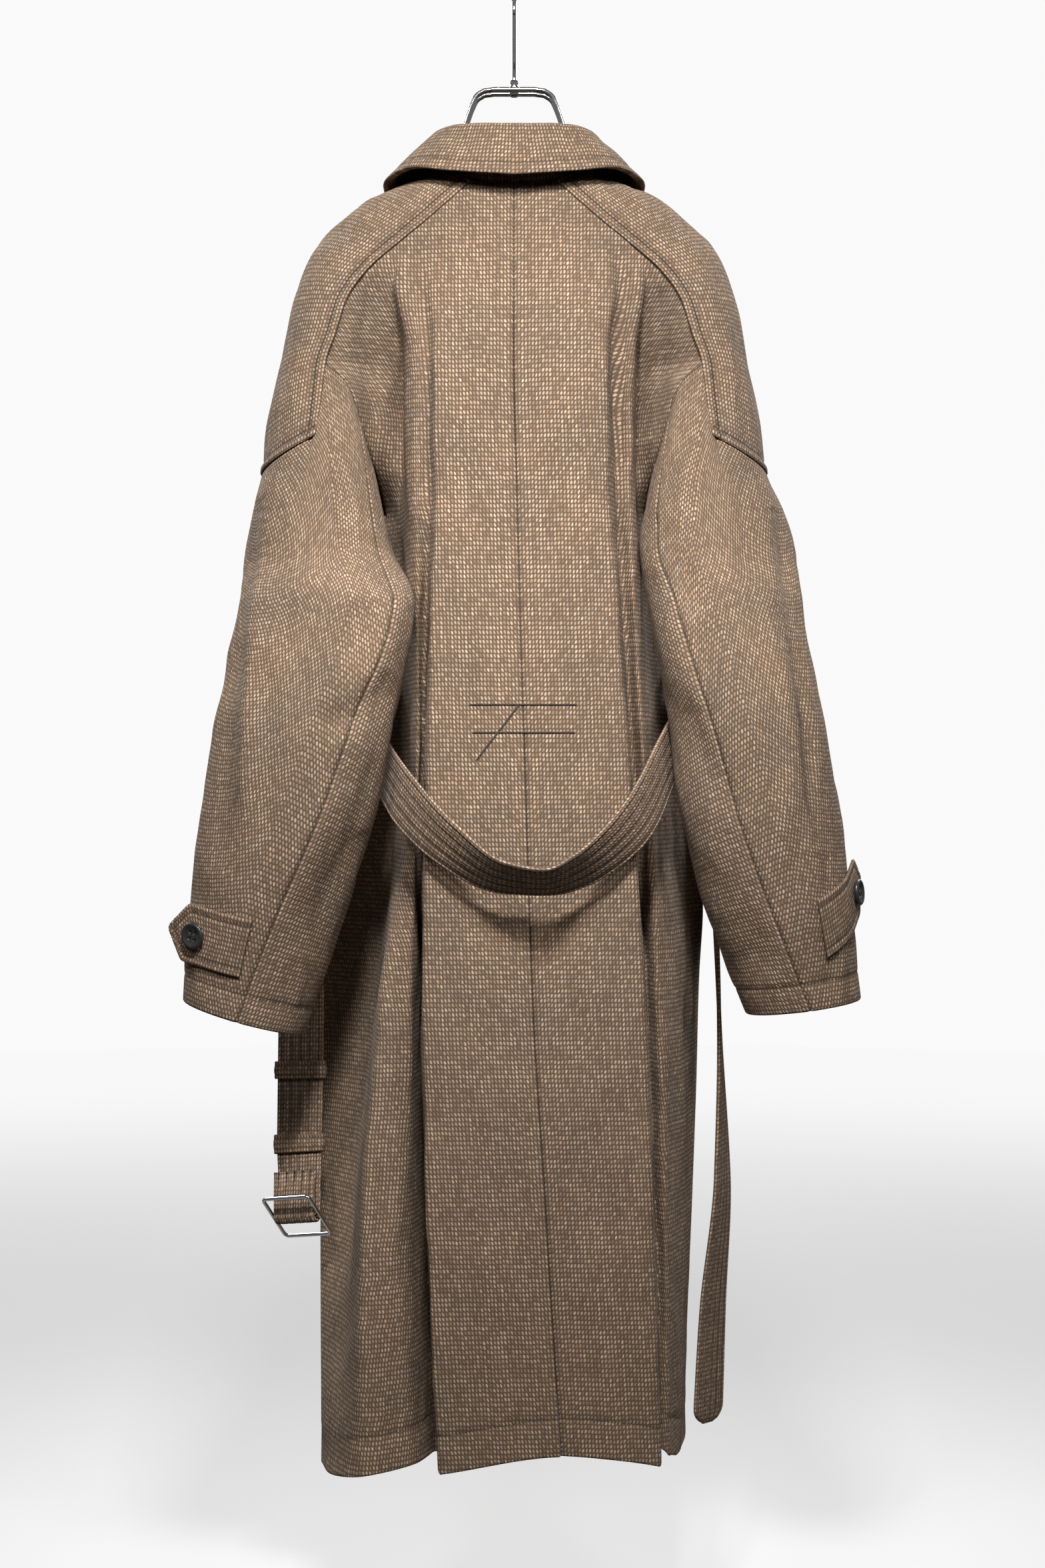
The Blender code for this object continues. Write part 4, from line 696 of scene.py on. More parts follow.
# Pressed folds and soft creases of the sleeves and back: x and z of points along each, in metres
SLEEVE_CREASES = {
    LEFT: (
        Crease(
            *(0.0065, 0.009, True),
            ((-0.212, -0.430), (-0.219, -0.530), (-0.224, -0.612), (-0.225, -0.697), (-0.224, -0.775)),
        ),
        Crease(
            *(-0.0076, 0.013, False),
            ((-0.228, -0.450), (-0.238, -0.560), (-0.246, -0.680), (-0.250, -0.780)),
        ),
        Crease(-0.0059, 0.016, False, ((-0.118, -0.520), (-0.128, -0.560), (-0.146, -0.600))),
        Crease(0.0051, 0.014, False, ((-0.098, -0.540), (-0.110, -0.590), (-0.132, -0.650))),
        Crease(-0.0051, 0.013, False, ((-0.106, -0.610), (-0.130, -0.640), (-0.160, -0.655))),
        Crease(-0.0037, 0.014, False, ((-0.150, -0.440), (-0.158, -0.480), (-0.172, -0.520))),
        Crease(0.0037, 0.016, False, ((-0.140, -0.700), (-0.165, -0.740), (-0.190, -0.800))),
        Crease(-0.0043, 0.012, False, ((-0.128, -0.740), (-0.160, -0.800), (-0.180, -0.850))),
    ),
    RIGHT: (
        Crease(
            *(0.0065, 0.009, True),
            ((0.219, -0.436), (0.226, -0.526), (0.238, -0.619), (0.244, -0.702), (0.250, -0.765)),
        ),
        Crease(-0.0085, 0.010, False, ((0.228, -0.460), (0.236, -0.560), (0.248, -0.660), (0.256, -0.760))),
        Crease(-0.0048, 0.016, False, ((0.124, -0.470), (0.140, -0.520), (0.162, -0.560))),
        Crease(0.0044, 0.016, False, ((0.122, -0.530), (0.138, -0.590), (0.158, -0.640))),
        Crease(-0.0041, 0.014, False, ((0.130, -0.620), (0.160, -0.680), (0.190, -0.730))),
        Crease(0.0034, 0.016, False, ((0.150, -0.720), (0.180, -0.790), (0.200, -0.850))),
        Crease(-0.0037, 0.012, False, ((0.168, -0.770), (0.200, -0.830), (0.215, -0.870))),
    ),
}
BACK_CREASES = (
    Crease(-0.0050, 0.011, False, ((-0.124, -0.262), (-0.126, -0.320), (-0.120, -0.400), (-0.112, -0.480))),
    Crease(0.0030, 0.010, False, ((-0.102, -0.240), (-0.104, -0.330), (-0.100, -0.440))),
    Crease(-0.0034, 0.009, False, ((-0.082, -0.225), (-0.083, -0.330), (-0.078, -0.470))),
    Crease(-0.0055, 0.010, False, ((0.091, -0.235), (0.093, -0.330), (0.090, -0.440))),
    Crease(0.0030, 0.009, False, ((0.108, -0.250), (0.109, -0.340), (0.102, -0.440))),
    Crease(-0.0050, 0.010, False, ((0.128, -0.270), (0.126, -0.330), (0.118, -0.400))),
    Crease(-0.0014, 0.016, False, ((-0.036, -0.240), (-0.040, -0.380), (-0.038, -0.560))),
    Crease(0.0012, 0.018, False, ((0.036, -0.230), (0.040, -0.360), (0.046, -0.540))),
    Crease(-0.0016, 0.016, False, ((-0.020, -0.860), (-0.012, -0.980), (0.000, -1.120))),
    Crease(0.0016, 0.018, False, ((-0.045, -0.830), (-0.040, -0.960), (-0.036, -1.120))),
    Crease(-0.0016, 0.018, False, ((0.056, -0.830), (0.066, -0.960), (0.074, -1.140))),
    Crease(0.0014, 0.016, False, ((0.084, -0.850), (0.092, -0.980), (0.100, -1.140))),
)
FRONT_CREASES = (
    Crease(-0.0022, 0.016, False, ((-0.060, -0.330), (-0.066, -0.480), (-0.060, -0.640))),
    Crease(0.0020, 0.016, False, ((0.052, -0.340), (0.060, -0.470), (0.058, -0.620))),
    Crease(-0.0020, 0.018, False, ((0.070, -0.720), (0.078, -0.900), (0.082, -1.120))),
    Crease(0.0018, 0.018, False, ((-0.066, -0.700), (-0.074, -0.880), (-0.078, -1.100))),
)
# How far a face must look the crease's way to take it in part and in full
CREASE_FACING = (0.05, 0.45)
CREASE_SAMPLES = 40
CREASE_TAPER = 0.6
# Slow unevenness of hanging cloth: waves of height with a length across and a length down
RIPPLES = ((0.00055, 0.047, 0.31), (0.00045, 0.031, 0.19), (0.00040, 0.083, 0.13), (0.00022, 0.019, 0.067))
RIPPLE_SEED = 7
RIPPLE_DEPTH_SHARE, RIPPLE_DRIFT = 0.7, 1.6
RIPPLE_CLEAR = 0.03

# The tack above the vent: its two rows of stitches and the slanting one, as x and z in metres
TACK_ROWS = (((-0.0365, -0.6357), (0.0522, -0.6357)), ((-0.0337, -0.6594), (0.0505, -0.6594)))
TACK_SLANT = ((0.0035, -0.6374), (-0.0309, -0.6821))

# Stitches
STITCH_PITCH, STITCH_LENGTH, STITCH_RADIUS = 0.0042, 0.0030, 0.00034
BELT_PITCH = 0.0050
BELT_STITCH_ROWS = 5
BELT_STITCH_INSET = 0.0045

# Colours, as linear values
DOT_BEIGE = (0.58, 0.447, 0.328, 1)
GROUND_BROWN = (0.125, 0.082, 0.054, 1)
WARM_FLECK = (0.36, 0.20, 0.10, 1)
# Stitch thread: its own dark brown, made darker still as painted shade so stitched lines read as shaded
# grooves
THREAD_BROWN_AND_GROOVE_SHADE = (0.022, 0.015, 0.011, 1)
CHROME_GREY = (0.70, 0.71, 0.72, 1)
BUTTON_DARK = (0.014, 0.013, 0.015, 1)
FLOOR_GREY = (0.34, 0.34, 0.34, 1)
WHITE = (1, 1, 1, 1)
THREAD_LIGHT = (0.060, 0.042, 0.030, 1)
CHROME_DULL = (0.52, 0.53, 0.55, 1)
BUTTON_GREY = (0.040, 0.036, 0.036, 1)

# Weave: sizes are in metres or in parts of a slub's cell, scales are in noise cells per metre
WEAVE_COLUMN, WEAVE_ROW, WEAVE_SLANT = 0.0030, 0.0040, 0.30
NOISE_DETAIL = 2.0
NOISE_MIDDLE = (0.3, 0.7)
WANDER_SCALE, WANDER_REACH = 70, (0.0009, 0.0007, 0)
COLUMN_STAGGER, SECOND_CHANCE = 0.16, 3.7
SLUB_HALF_WIDTH, SLUB_HALF_HEIGHT = (0.26, 0.40), 0.46
SLUB_EDGE, SLUB_STRENGTH = (0.55, 1.1), (0.25, 1.0)
COLUMN_TONE, ROW_TONE = (0.78, 1.12), (0.88, 1.08)
FIBRE, FIBRE_STRETCH = (1900, 3.0), (1.0, 0.45, 1.0)
FIBRE_TONE, FIBRE_HEIGHT = (0.6, 1.15), 0.6
FLECK_CHANCE, FLECK_STRENGTH = (0.9, 0.98), 0.45
CLOUD, CLOUD_TONES = (16, 3.0), ((0.90, 1.09), (0.92, 1.06), (0.94, 1.03))

# Finishes: noise scale and detail, roughness from low to high, strength and depth of relief
# Painted shade: the share of the cloth's colour left where the seam shade is full
DEEPEST_SHADE = 0.42
TWEED_RELIEF, TWEED_HEIGHTS, TWEED_ROUGHNESS = (0.55, 0.0005), (0, 1.4), (0.95, 0.86)
TWEED_FINISH = {"Sheen Weight": 0.03, "Sheen Roughness": 0.6, "Specular IOR Level": 0.08}
THREAD_MOTTLE, THREAD_ROUGHNESS = (900, NOISE_DETAIL), (0.62, 0.8)
CHROME_SMEAR, CHROME_ROUGHNESS = (45, 3.0), (0.07, 0.16)
CHROME_RELIEF, CHROME_SCRATCH = (0.05, 0.0002), 1500
BUTTON_SWIRL, BUTTON_ROUGHNESS = (130, 4.0), (0.24, 0.38)
BUTTON_RELIEF, BUTTON_GRAIN = (0.06, 0.0002), 700

# Numbers of the sockets used on the colour mix, attribute and coordinate nodes
COLOUR_MIX_INPUTS, COLOUR_MIX_OUTPUT = (0, 6, 7), 2
ATTRIBUTE_VALUE, OBJECT_PLACE = 2, 3

# Steps and small sizes of the finer pieces
CAP_STEPS = 1440
BODY_CORE = (0.0, 0.0, (WAIST + HIP) / 2)
COLLAR_THICKNESS = 0.005
TAB_STEPS, TAB_FREE_STEPS, TAB_STEP = 24, 16, 0.003
TAB_SEAT_STEPS, TAB_SEAT_LINES = 8, 5
BELT_STEPS, BELT_TURN_STEPS = 560, 17
BELT_FLAT_STEPS, BELT_EDGE_STEPS = 14, 7
BELT_MARKS = np.array((-1.6, -0.8, 0, 0.8, 1.6)) * MM
# Belt stitch grooves: their depth and reach, and the painted shade laid in them
BELT_GROOVE, BELT_GROOVE_REACH, BELT_SHADE = 0.0006, 0.0011, 0.45
KEEPER_ROWS, KEEPER_STEP, KEEPER_STITCH = 9, 0.0025, 0.003
LOOP_STEPS, LOOP_LINES = 61, 7
CORNER_STEPS = 10
ARM_STEPS, ARM_END_STEPS = 30, 15
HOOK_STEPS, LEG_STEPS, BAR_STEPS = 48, 40, 13
WIRE_ROUND = 5
BUTTON_SPIN = 56
# Button profile from its back to its dished face: shares of its radius and of its thickness
BUTTON_TURNING = (
    *((0, 0), (0.78, 0), (0.92, 0.15), (1, 0.5), (0.97, 0.82)),
    *((0.9, 1), (0.8, 1), (0.7, 0.9), (0.6, 0.72), (0, 0.68)),
)
HOLE_OFFSET, HOLE_RADIUS, HOLE_SEGMENTS = 0.0023, 0.0011, 20
THREAD_RADIUS, THREAD_RISE = 0.0006, 0.0006
BOSS_ROUND = 0.002
STITCH_SEGMENTS, STITCH_RINGS = 5, 3
TACK_SAMPLES = 40
TACK_PITCH, TACK_RADIUS = 0.0024, 0.0012

# Camera, floor and lights: place, aim, size, watts and spread of each
CAMERA_LENS, SENSOR_WIDTH = 53.0, 36.0
CAMERA_PLACE = (0.0075, -2.078, -0.703)
FLOOR = -1.50
FLOOR_GLOW, FLOOR_FAR, FLOOR_ROUGHNESS = 0.58, 0.92, 0.9
FLOOR_FADE, FLOOR_RADIUS, FLOOR_SIDES = (1.7, 4.5), 5.0, 64
WORLD_GLOW, WORLD_SEEN, WORLD_MIRRORED = 0.006, 0.95, 0.20
LIGHTS = (
    ("key_middle", (0.02, -1.50, 0.80), (0.0, -0.10, -0.58), (0.26, 0.26), 5.0, math.radians(50)),
    ("key_left", (-0.80, -1.60, 0.55), (-0.10, -0.10, -0.52), (0.30, 0.30), 1.6, math.radians(52)),
    ("key_right", (0.85, -1.60, 0.55), (0.10, -0.10, -0.52), (0.30, 0.30), 1.4, math.radians(52)),
    ("front_left", (-1.3, 1.5, 0.60), (-0.05, 0.10, -0.60), (0.8, 0.8), 6.0, math.radians(70)),
    ("front_right", (1.3, 1.5, 0.60), (0.05, 0.10, -0.60), (0.8, 0.8), 6.0, math.radians(70)),
)

STITCH_LINES = {"coat": [], "belt": []}


def line_lengths(points, axis):
    """Distance along each line of a grid from its first point."""
    steps = np.linalg.norm(np.diff(points, axis=axis), axis=2)
    pad = [(0, 0), (0, 0)]
    pad[axis] = (1, 0)
    return np.cumsum(np.pad(steps, pad), axis=axis)


def close_marks(stitch=None):
    """Distances from an edge where a sheet needs close lines: its turn and its row of stitches."""
    marks = EDGE_MARKS if stitch is None else np.concatenate([EDGE_MARKS, stitch + STITCH_MARKS])
    return np.unique(marks)


def with_columns(grid, first, last, step):
    """The sheet with columns at set distances from both side edges and even ones between."""
    lengths = line_lengths(grid, 1)
    middle = max(2, round((lengths[:, -1].max() - first[-1] - last[-1]) / step))
    rows = []
    for line, at in zip(grid, lengths):
        squeeze = min(1, EDGE_SHARE * at[-1] / max(first[-1] + last[-1], TINY))
        near, far = first * squeeze, at[-1] - last[::-1] * squeeze
        stops = np.concatenate([near, np.linspace(near[-1], far[0], middle + 2)[1:-1], far])
        rows.append(np.column_stack([np.interp(stops, at, line[:, axis]) for axis in range(3)]))
    return np.array(rows)


def with_rows(grid, first, last, step):
    return with_columns(grid.transpose(1, 0, 2), first, last, step).transpose(1, 0, 2)


def outward_normals(points, core):
    """Normals of a grid that look away from the core, and whether its own order already does so."""
    normals = unit(np.cross(np.gradient(points, axis=1), np.gradient(points, axis=0)) + TINY)
    ahead = bool((normals * (points - np.asarray(core))).sum() > 0)
    return (normals if ahead else -normals), ahead


def bump_at(distance, centre, reach):
    return np.exp(-(((distance - centre) / reach) ** 2))


def turned_edge(kind, distance, stitch):
    """Height and painted shade near an edge: a sewn seam, a lap on top, the cloth under a lap, or a free
    edge.
    """
    height, shade = np.zeros_like(distance), np.zeros_like(distance)
    if kind == "seam":
        height -= SEAM_DEPTH * bump_at(distance, 0, SEAM_REACH)
        height += SEAM_PUFF * bump_at(distance, SEAM_PUFF_AT, SEAM_PUFF_REACH)
        shade += SEAM_SHADE * bump_at(distance, 0, SHADE_REACH)
    elif kind == "under":
        height -= UNDER_DROP * bump_at(distance, 0, UNDER_REACH)
        shade += UNDER_SHADE * bump_at(distance, 0, SHADE_REACH)
    else:
        height -= ROUND_DEPTH * bump_at(distance, 0, ROUND_REACH)
    if kind == "lap":
        fall_start, fall_end = (stitch + past for past in LAP_FALL)
        height += LAP_RISE * (1 - smoothstep(fall_start, fall_end, distance))
    if stitch:
        strength = LAP_STITCH if kind == "lap" else SOFT_STITCH
        height -= strength * GROOVE_DEPTH * bump_at(distance, stitch, GROOVE_REACH)
        shade += strength * STITCH_SHADE * bump_at(distance, stitch, SHADE_REACH)
    return height, shade


def crease_heights(points, normals, creases, facing):
    """Troughs and ridges along lines seen from behind or from the front, fading out at both ends."""
    total = np.zeros(points.shape[:2])
    seen = smoothstep(*CREASE_FACING, facing * normals[..., 1])
    flat = points[..., [0, 2]]
    shares = np.linspace(0, 1, CREASE_SAMPLES)
    fade = np.sin(np.pi * shares) ** CREASE_TAPER
    for crease in creases:
        line = glide_along(np.array(crease.points), shares)
        away = np.linalg.norm(flat[:, :, None] - line, axis=3)
        nearest = away.argmin(axis=2)
        distance = away.min(axis=2) / crease.width
        profile = np.exp(-distance) if crease.sharp else np.exp(-(distance**2))
        total += crease.height * profile * fade[nearest]
    return total * seen


def ripple_heights(points):
    waves = np.random.default_rng(RIPPLE_SEED).uniform(0, 2 * np.pi, (len(RIPPLES), 2))
    total = np.zeros(points.shape[:2])
    round_body = points[..., 0] + RIPPLE_DEPTH_SHARE * points[..., 1]
    for (height, across, down), (first, second) in zip(RIPPLES, waves):
        drift = np.sin(2 * np.pi * points[..., 2] / down + second)
        total += height * np.sin(2 * np.pi * round_body / across + first + RIPPLE_DRIFT * drift)
    return total


def stitch_line(points, distance, stitch, axis, kept):
    """Points of a finished sheet one stitch distance from an edge."""
    lines = points if axis == 1 else points.transpose(1, 0, 2)
    far = distance if axis == 1 else distance.T
    found = []
    for line, at, keep in zip(lines, far, kept):
        if keep > HALF and at.max() > stitch:
            order = np.argsort(at)
            found.append([np.interp(stitch, at[order], line[order, k]) for k in range(3)])
    return np.array(found)


def grid_faces(grid):
    """Corner numbers of each face of a grid of points."""
    rows, cols = grid.shape[:2]
    index = np.arange(rows * cols).reshape(rows, cols)
    corners = [index[:-1, :-1], index[:-1, 1:], index[1:, 1:], index[1:, :-1]]
    return np.stack(corners, -1).reshape(-1, 4)


def sheet_mesh(name, points, flat, shade, ahead, closed=False):
    """A mesh of a grid, with its flat pattern as a UV map in metres and its painted seam shade as an
    attribute.
    """
    corners = grid_faces(points)
    corners = corners if ahead else corners[:, ::-1]
    mesh = bpy.data.meshes.new(name)
    mesh.from_pydata(points.reshape(-1, 3).tolist(), [], corners.tolist())
    pattern = mesh.uv_layers.new(name="flat_pattern")
    pattern.data.foreach_set("uv", flat.reshape(-1, 2)[corners.ravel()].ravel())
    painted_shade = mesh.attributes.new("seam_shade", "FLOAT", "POINT")
    painted_shade.data.foreach_set("value", np.clip(shade, 0, 1).ravel())
    if closed:
        sheet = bmesh.new()
        sheet.from_mesh(mesh)
        bmesh.ops.remove_doubles(sheet, verts=sheet.verts, dist=MERGE)
        sheet.to_mesh(mesh)
        sheet.free()
    mesh.shade_smooth()
    return mesh


def show(name, mesh, material, node, body="coat"):
    """A finished piece in the scene, standing for its node, riding on its body, with its slot's finish."""
    piece = bpy.data.objects.new(name, mesh)
    bpy.context.scene.collection.objects.link(piece)
    mesh.materials.clear()
    mesh.materials.append(material)
    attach(piece, body)
    if node:
        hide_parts(node)
    return piece


def sew(node, points, core, edges, tweed, creases=(), facing=-1, thickness=CLOTH,
        ripples=True, closed=False, grain_turned=False, upright=False):
    """A finished cloth piece: edges turned, stitches marked, creases laid in, tweed laid out flat."""
    normals, ahead = outward_normals(points, core)
    down, across = line_lengths(points, 0), line_lengths(points, 1)
    reach = {"top": down, "bottom": down[-1] - down, "first": across, "last": across[:, -1:] - across}
    height, shade = np.zeros(points.shape[:2]), np.zeros(points.shape[:2])
    # Painted shade: seams, lap edges and stitch grooves are darkened in colour through the seam_shade
    # attribute
    for edge in edges:
        rise, dark = turned_edge(edge.kind, reach[edge.place], edge.stitch)
        height += rise * edge.where
        shade = np.maximum(shade, dark * edge.where)
    height += crease_heights(points, normals, creases, facing)
    if ripples:
        inside = smoothstep(0, RIPPLE_CLEAR, np.minimum.reduce(list(reach.values())))
        height += ripple_heights(points) * inside
    finished = points + normals * height[..., None]
    for edge in edges:
        if edge.stitch:
            axis = 0 if edge.place in ("top", "bottom") else 1
            kept = np.broadcast_to(edge.where, points.shape[:2]).max(axis=axis)
            line = stitch_line(finished, reach[edge.place], edge.stitch, axis, kept)
            STITCH_LINES["coat"].append(line)
    grain_down = points[..., 2] if upright else np.broadcast_to(-down.mean(1)[:, None], down.shape)
    flat = np.stack([across, grain_down], -1)
    flat = flat[..., ::-1] if grain_turned else flat
    mesh = sheet_mesh("cloth_" + node, finished, flat, shade, ahead, closed)
    piece = show("cloth_" + node, mesh, tweed, node)
    wall = piece.modifiers.new("wall", "SOLIDIFY")
    wall.thickness = thickness
    wall.offset = -1
    return finished


def panel_paths(step, hem_marks):
    """Rows of a body panel down its raglan, armhole and side seam, close together at hem and tack."""
    raglan = np.linspace(0, 1, round(RAGLAN_LENGTH / step), endpoint=False)
    armhole = np.linspace(1, 2, round(ARMHOLE_LENGTH / step), endpoint=False)
    drop = CHEST - HEM
    even = np.arange(0, drop - hem_marks[-1] - step / 2, step)
    tack = [CHEST - row[0][1] + mark for row in TACK_ROWS for mark in STITCH_MARKS]
    even = np.array([at for at in even if np.abs(np.array(tack) - at).min() > step / 2])
    downs = np.sort(np.concatenate([even, tack, drop - hem_marks]))
    return np.concatenate([raglan, armhole, 2 + downs / drop])


def hung_hem(grid, line):
    """The sheet with its lower rows raised or let down to the hem's hanging line."""
    places, rises = np.array(line).T
    across = np.clip(grid[..., 0], places[0], places[-1])
    rise = glide(places, rises, across.ravel()).reshape(across.shape)
    near = 1 - smoothstep(HEM, HEM + HEM_FADE, grid[..., 2])
    return grid + np.array([0, 0, 1]) * (near * rise)[..., None]


def make_backs(tweed):
    hem = close_marks(HEM_STITCH)
    paths = panel_paths(ROW_STEP, hem)
    raglan = (1 - smoothstep(*RAGLAN_END, paths))[:, None]
    backs = []
    for side in (LEFT, RIGHT):
        grid = with_columns(back_panel(side, paths, DENSE), close_marks(), close_marks(), BACK_STEP)
        grid = hung_hem(grid, BACK_HEM)
        below_tack = smoothstep(*(VENT_TOP + past for past in VENT_EDGE), grid[:, :1, 2])
        edges = [
            Edge("first", "seam", None, 1 - below_tack),
            Edge("first", "free" if side == LEFT else "under", None, below_tack),
            Edge("last", "under", None, raglan),
            Edge("last", "seam", None, 1 - raglan),
            Edge("bottom", "free", HEM_STITCH, 1),
        ]
        node = "back_" + SIDE_NAMES[side]
        sewn = sew(node, grid, BODY_CORE, edges, tweed, BACK_CREASES, upright=True)
        backs.append(sewn)
    return backs


def make_vent(tweed):
    even = np.arange(VENT_TOP, HEM + HEM_STITCH, -ROW_STEP)
    heights = np.unique(np.concatenate([even, HEM + close_marks(HEM_STITCH)]))[::-1]
    grid = vent_underlap(heights, np.linspace(0, 1, DENSE))
    grid = with_columns(grid, close_marks(), close_marks(), FRONT_STEP_SIZE)
    grid = hung_hem(grid, BACK_HEM)
    edges = [Edge("last", "free", None, 1), Edge("bottom", "free", HEM_STITCH, 1)]
    sew("vent_underlap", grid, BODY_CORE, edges, tweed, upright=True)


def make_fronts(tweed):
    paths = panel_paths(FRONT_ROW_STEP, close_marks(HEM_STITCH))
    raglan = (1 - smoothstep(*RAGLAN_END, paths))[:, None]
    for side in (LEFT, RIGHT):
        grid = front_panel(side, paths, DENSE)
        grid = with_columns(grid, close_marks(SEAM_STITCH), close_marks(), FRONT_STEP_SIZE)
        grid = hung_hem(grid, FRONT_HEM)
        edges = [
            Edge("first", "free", SEAM_STITCH, 1),
            Edge("last", "under", None, raglan),
            Edge("last", "seam", None, 1 - raglan),
            Edge("bottom", "free", HEM_STITCH, 1),
        ]
        node = "front_" + SIDE_NAMES[side]
        sew(node, grid, BODY_CORE, edges, tweed, FRONT_CREASES, 1, upright=True)


def lapped_over(grid):
    """The sheet with its first column carried a little past its seam, over the neighbour."""
    way = unit(grid[:, 0] - grid[:, 2])[:, None]
    near = 1 - smoothstep(0, LAP_OVER_REACH, line_lengths(grid, 1))
    return grid + way * (LAP_OVER * near)[..., None]


def make_saddles(tweed):
    for side in (LEFT, RIGHT):
        stations, around = np.linspace(0, SADDLE_END, SADDLE_STEPS), np.linspace(-1, 1, 2 * DENSE + 1)
        grid = saddle_panel(side, stations, around)
        grid = with_columns(grid, close_marks(SEAM_STITCH), close_marks(SEAM_STITCH), SLEEVE_STEP)
        grid = with_rows(grid, close_marks(), close_marks(SEAM_STITCH), SLEEVE_STEP)
        grid = lapped_over(lapped_over(grid)[:, ::-1])[:, ::-1]
        grid = lapped_over(grid[::-1].transpose(1, 0, 2)).transpose(1, 0, 2)[::-1]
        edges = [Edge(place, "lap", SEAM_STITCH, 1) for place in ("first", "last", "bottom")]
        core = (side * ARMHOLE[-1][0], 0.0, SADDLE[SADDLE_AT_ARMHOLE][2])
        sew("saddle_" + SIDE_NAMES[side], grid, core, edges, tweed)


def make_sleeves(tweed):
    even = np.linspace(0, 1, SLEEVE_LINES)
    pieces = {"under": (BACK_SEAM_TURNS, FRONT_SEAM_TURNS)}
    pieces["outer"] = (FRONT_SEAM_TURNS, [1 + turn for turn in BACK_SEAM_TURNS])
    for side in (LEFT, RIGHT):
        elbow = SLEEVE_RINGS[side][len(SLEEVE_RINGS[side]) // 2]
        for piece, (first, last) in pieces.items():
            grid = sleeve_piece(side, first, last, even, even)
            grid = with_columns(grid, close_marks(), close_marks(), SLEEVE_STEP)
            grid = with_rows(grid, close_marks(), close_marks(CUFF_STITCH), SLEEVE_STEP)
            edges = [
                Edge("top", "under", None, 1),
                Edge("first", "seam", None, 1),
                Edge("last", "seam", None, 1),
                Edge("bottom", "free", CUFF_STITCH, 1),
            ]
            node = f"sleeve_{piece}_{SIDE_NAMES[side]}"
            core = (elbow.x, elbow.y, elbow.z)
            sew(node, grid, core, edges, tweed, SLEEVE_CREASES[side])


def make_collar(tweed):
    degrees = np.linspace(-COLLAR[-1][0], COLLAR[-1][0], COLLAR_LINES)
    stand = collar_stand(degrees, np.linspace(0, 1, STAND_STEPS))
    edges = [Edge("first", "under", None, 1)]
    sew("collar_stand", stand, (0, 0, NECK_BACK), edges, tweed, grain_turned=True)
    fall = collar_fall(degrees, np.linspace(0, 1, DENSE))
    fall = with_columns(fall, EDGE_MARKS, close_marks(COLLAR_STITCH), COLLAR_STEP)
    fall = with_rows(fall, close_marks(COLLAR_STITCH), close_marks(COLLAR_STITCH), COLLAR_ROW_STEP)
    edges = [Edge(place, "free", COLLAR_STITCH, 1) for place in ("top", "bottom", "last")]
    core = (0, 0, NECK_FRONT)
    sew("collar_fall", fall, core, edges, tweed, thickness=COLLAR_THICKNESS, grain_turned=True)


@lru_cache(maxsize=None)
def cap_line(side):
    turns = np.linspace(0, 1, CAP_STEPS + 1)
    return turns, cap_point(side, turns)


def sleeve_grid(side, turns, downs):
    """Points of a sleeve: a row for each share of the way from cap to cuff, a column for each turn."""
    at, line = cap_line(side)
    turns = np.asarray(turns, float)
    cap = np.column_stack([np.interp(turns % 1.0, at, line[:, axis]) for axis in range(3)])
    rings = np.array([cap] + [ring_points(side, ring, turns) for ring in SLEEVE_RINGS[side]])
    heights = np.array([SLEEVE_TOP] + [ring.z for ring in SLEEVE_RINGS[side]])
    knots = (SLEEVE_TOP - heights) / (SLEEVE_TOP - heights[-1])
    return glide(knots, rings.reshape(len(rings), -1), downs).reshape(len(downs), len(turns), 3)


def sleeve_piece(side, first_seam, last_seam, shares, downs):
    """Rows down a sleeve piece between two seams, each given by its turn at the cap and at the cuff."""
    rows = []
    for down in downs:
        low = first_seam[0] + (first_seam[1] - first_seam[0]) * down
        high = last_seam[0] + (last_seam[1] - last_seam[0]) * down
        rows.append(sleeve_grid(side, low + (high - low) * shares, [down])[0])
    return np.array(rows)


def tab_grid(side, shares, lines, free_shares):
    """A tab on the sleeve's skin: sewn at the back seam, then leaving the arm at its pointed end."""
    tab, ring = TABS[side], SLEEVE_RINGS[side][-2]
    downs = np.linspace(SKIN_FROM, 1, SKIN_STEPS)
    rows = []
    for share in shares:
        turn = tab.turn + (tab.leaves - tab.turn) * share
        here, beside = sleeve_grid(side, [turn, turn + SKIN_STEP], downs).transpose(1, 0, 2)
        normal = unit(np.cross(beside - here, np.gradient(here, axis=0)))
        away = (here - np.array([ring.x, ring.y, 0])) * np.array([1, 1, 0])
        lifted = here + normal * np.sign((normal * away).sum()) * (CLOTH + TAB_LIE)
        heights = tab.height + tab.rise * share + TAB_WIDTH / 2 * np.linspace(1, -1, lines)
        lines_here = [np.interp(-heights, -here[:, 2], lifted[:, axis]) for axis in range(3)]
        rows.append(np.column_stack(lines_here))
    last = rows[-1]
    middle = last.mean(0)
    way = unit(middle - rows[-2].mean(0))
    for share in free_shares:
        reach = tab.free_length * share
        pointed = np.clip((reach - tab.free_length + TAB_POINT) / TAB_POINT, 0, 1)
        rows.append(middle + way * reach + (last - middle) * (1 - TAB_TAPER * pointed))
    return np.array(rows)


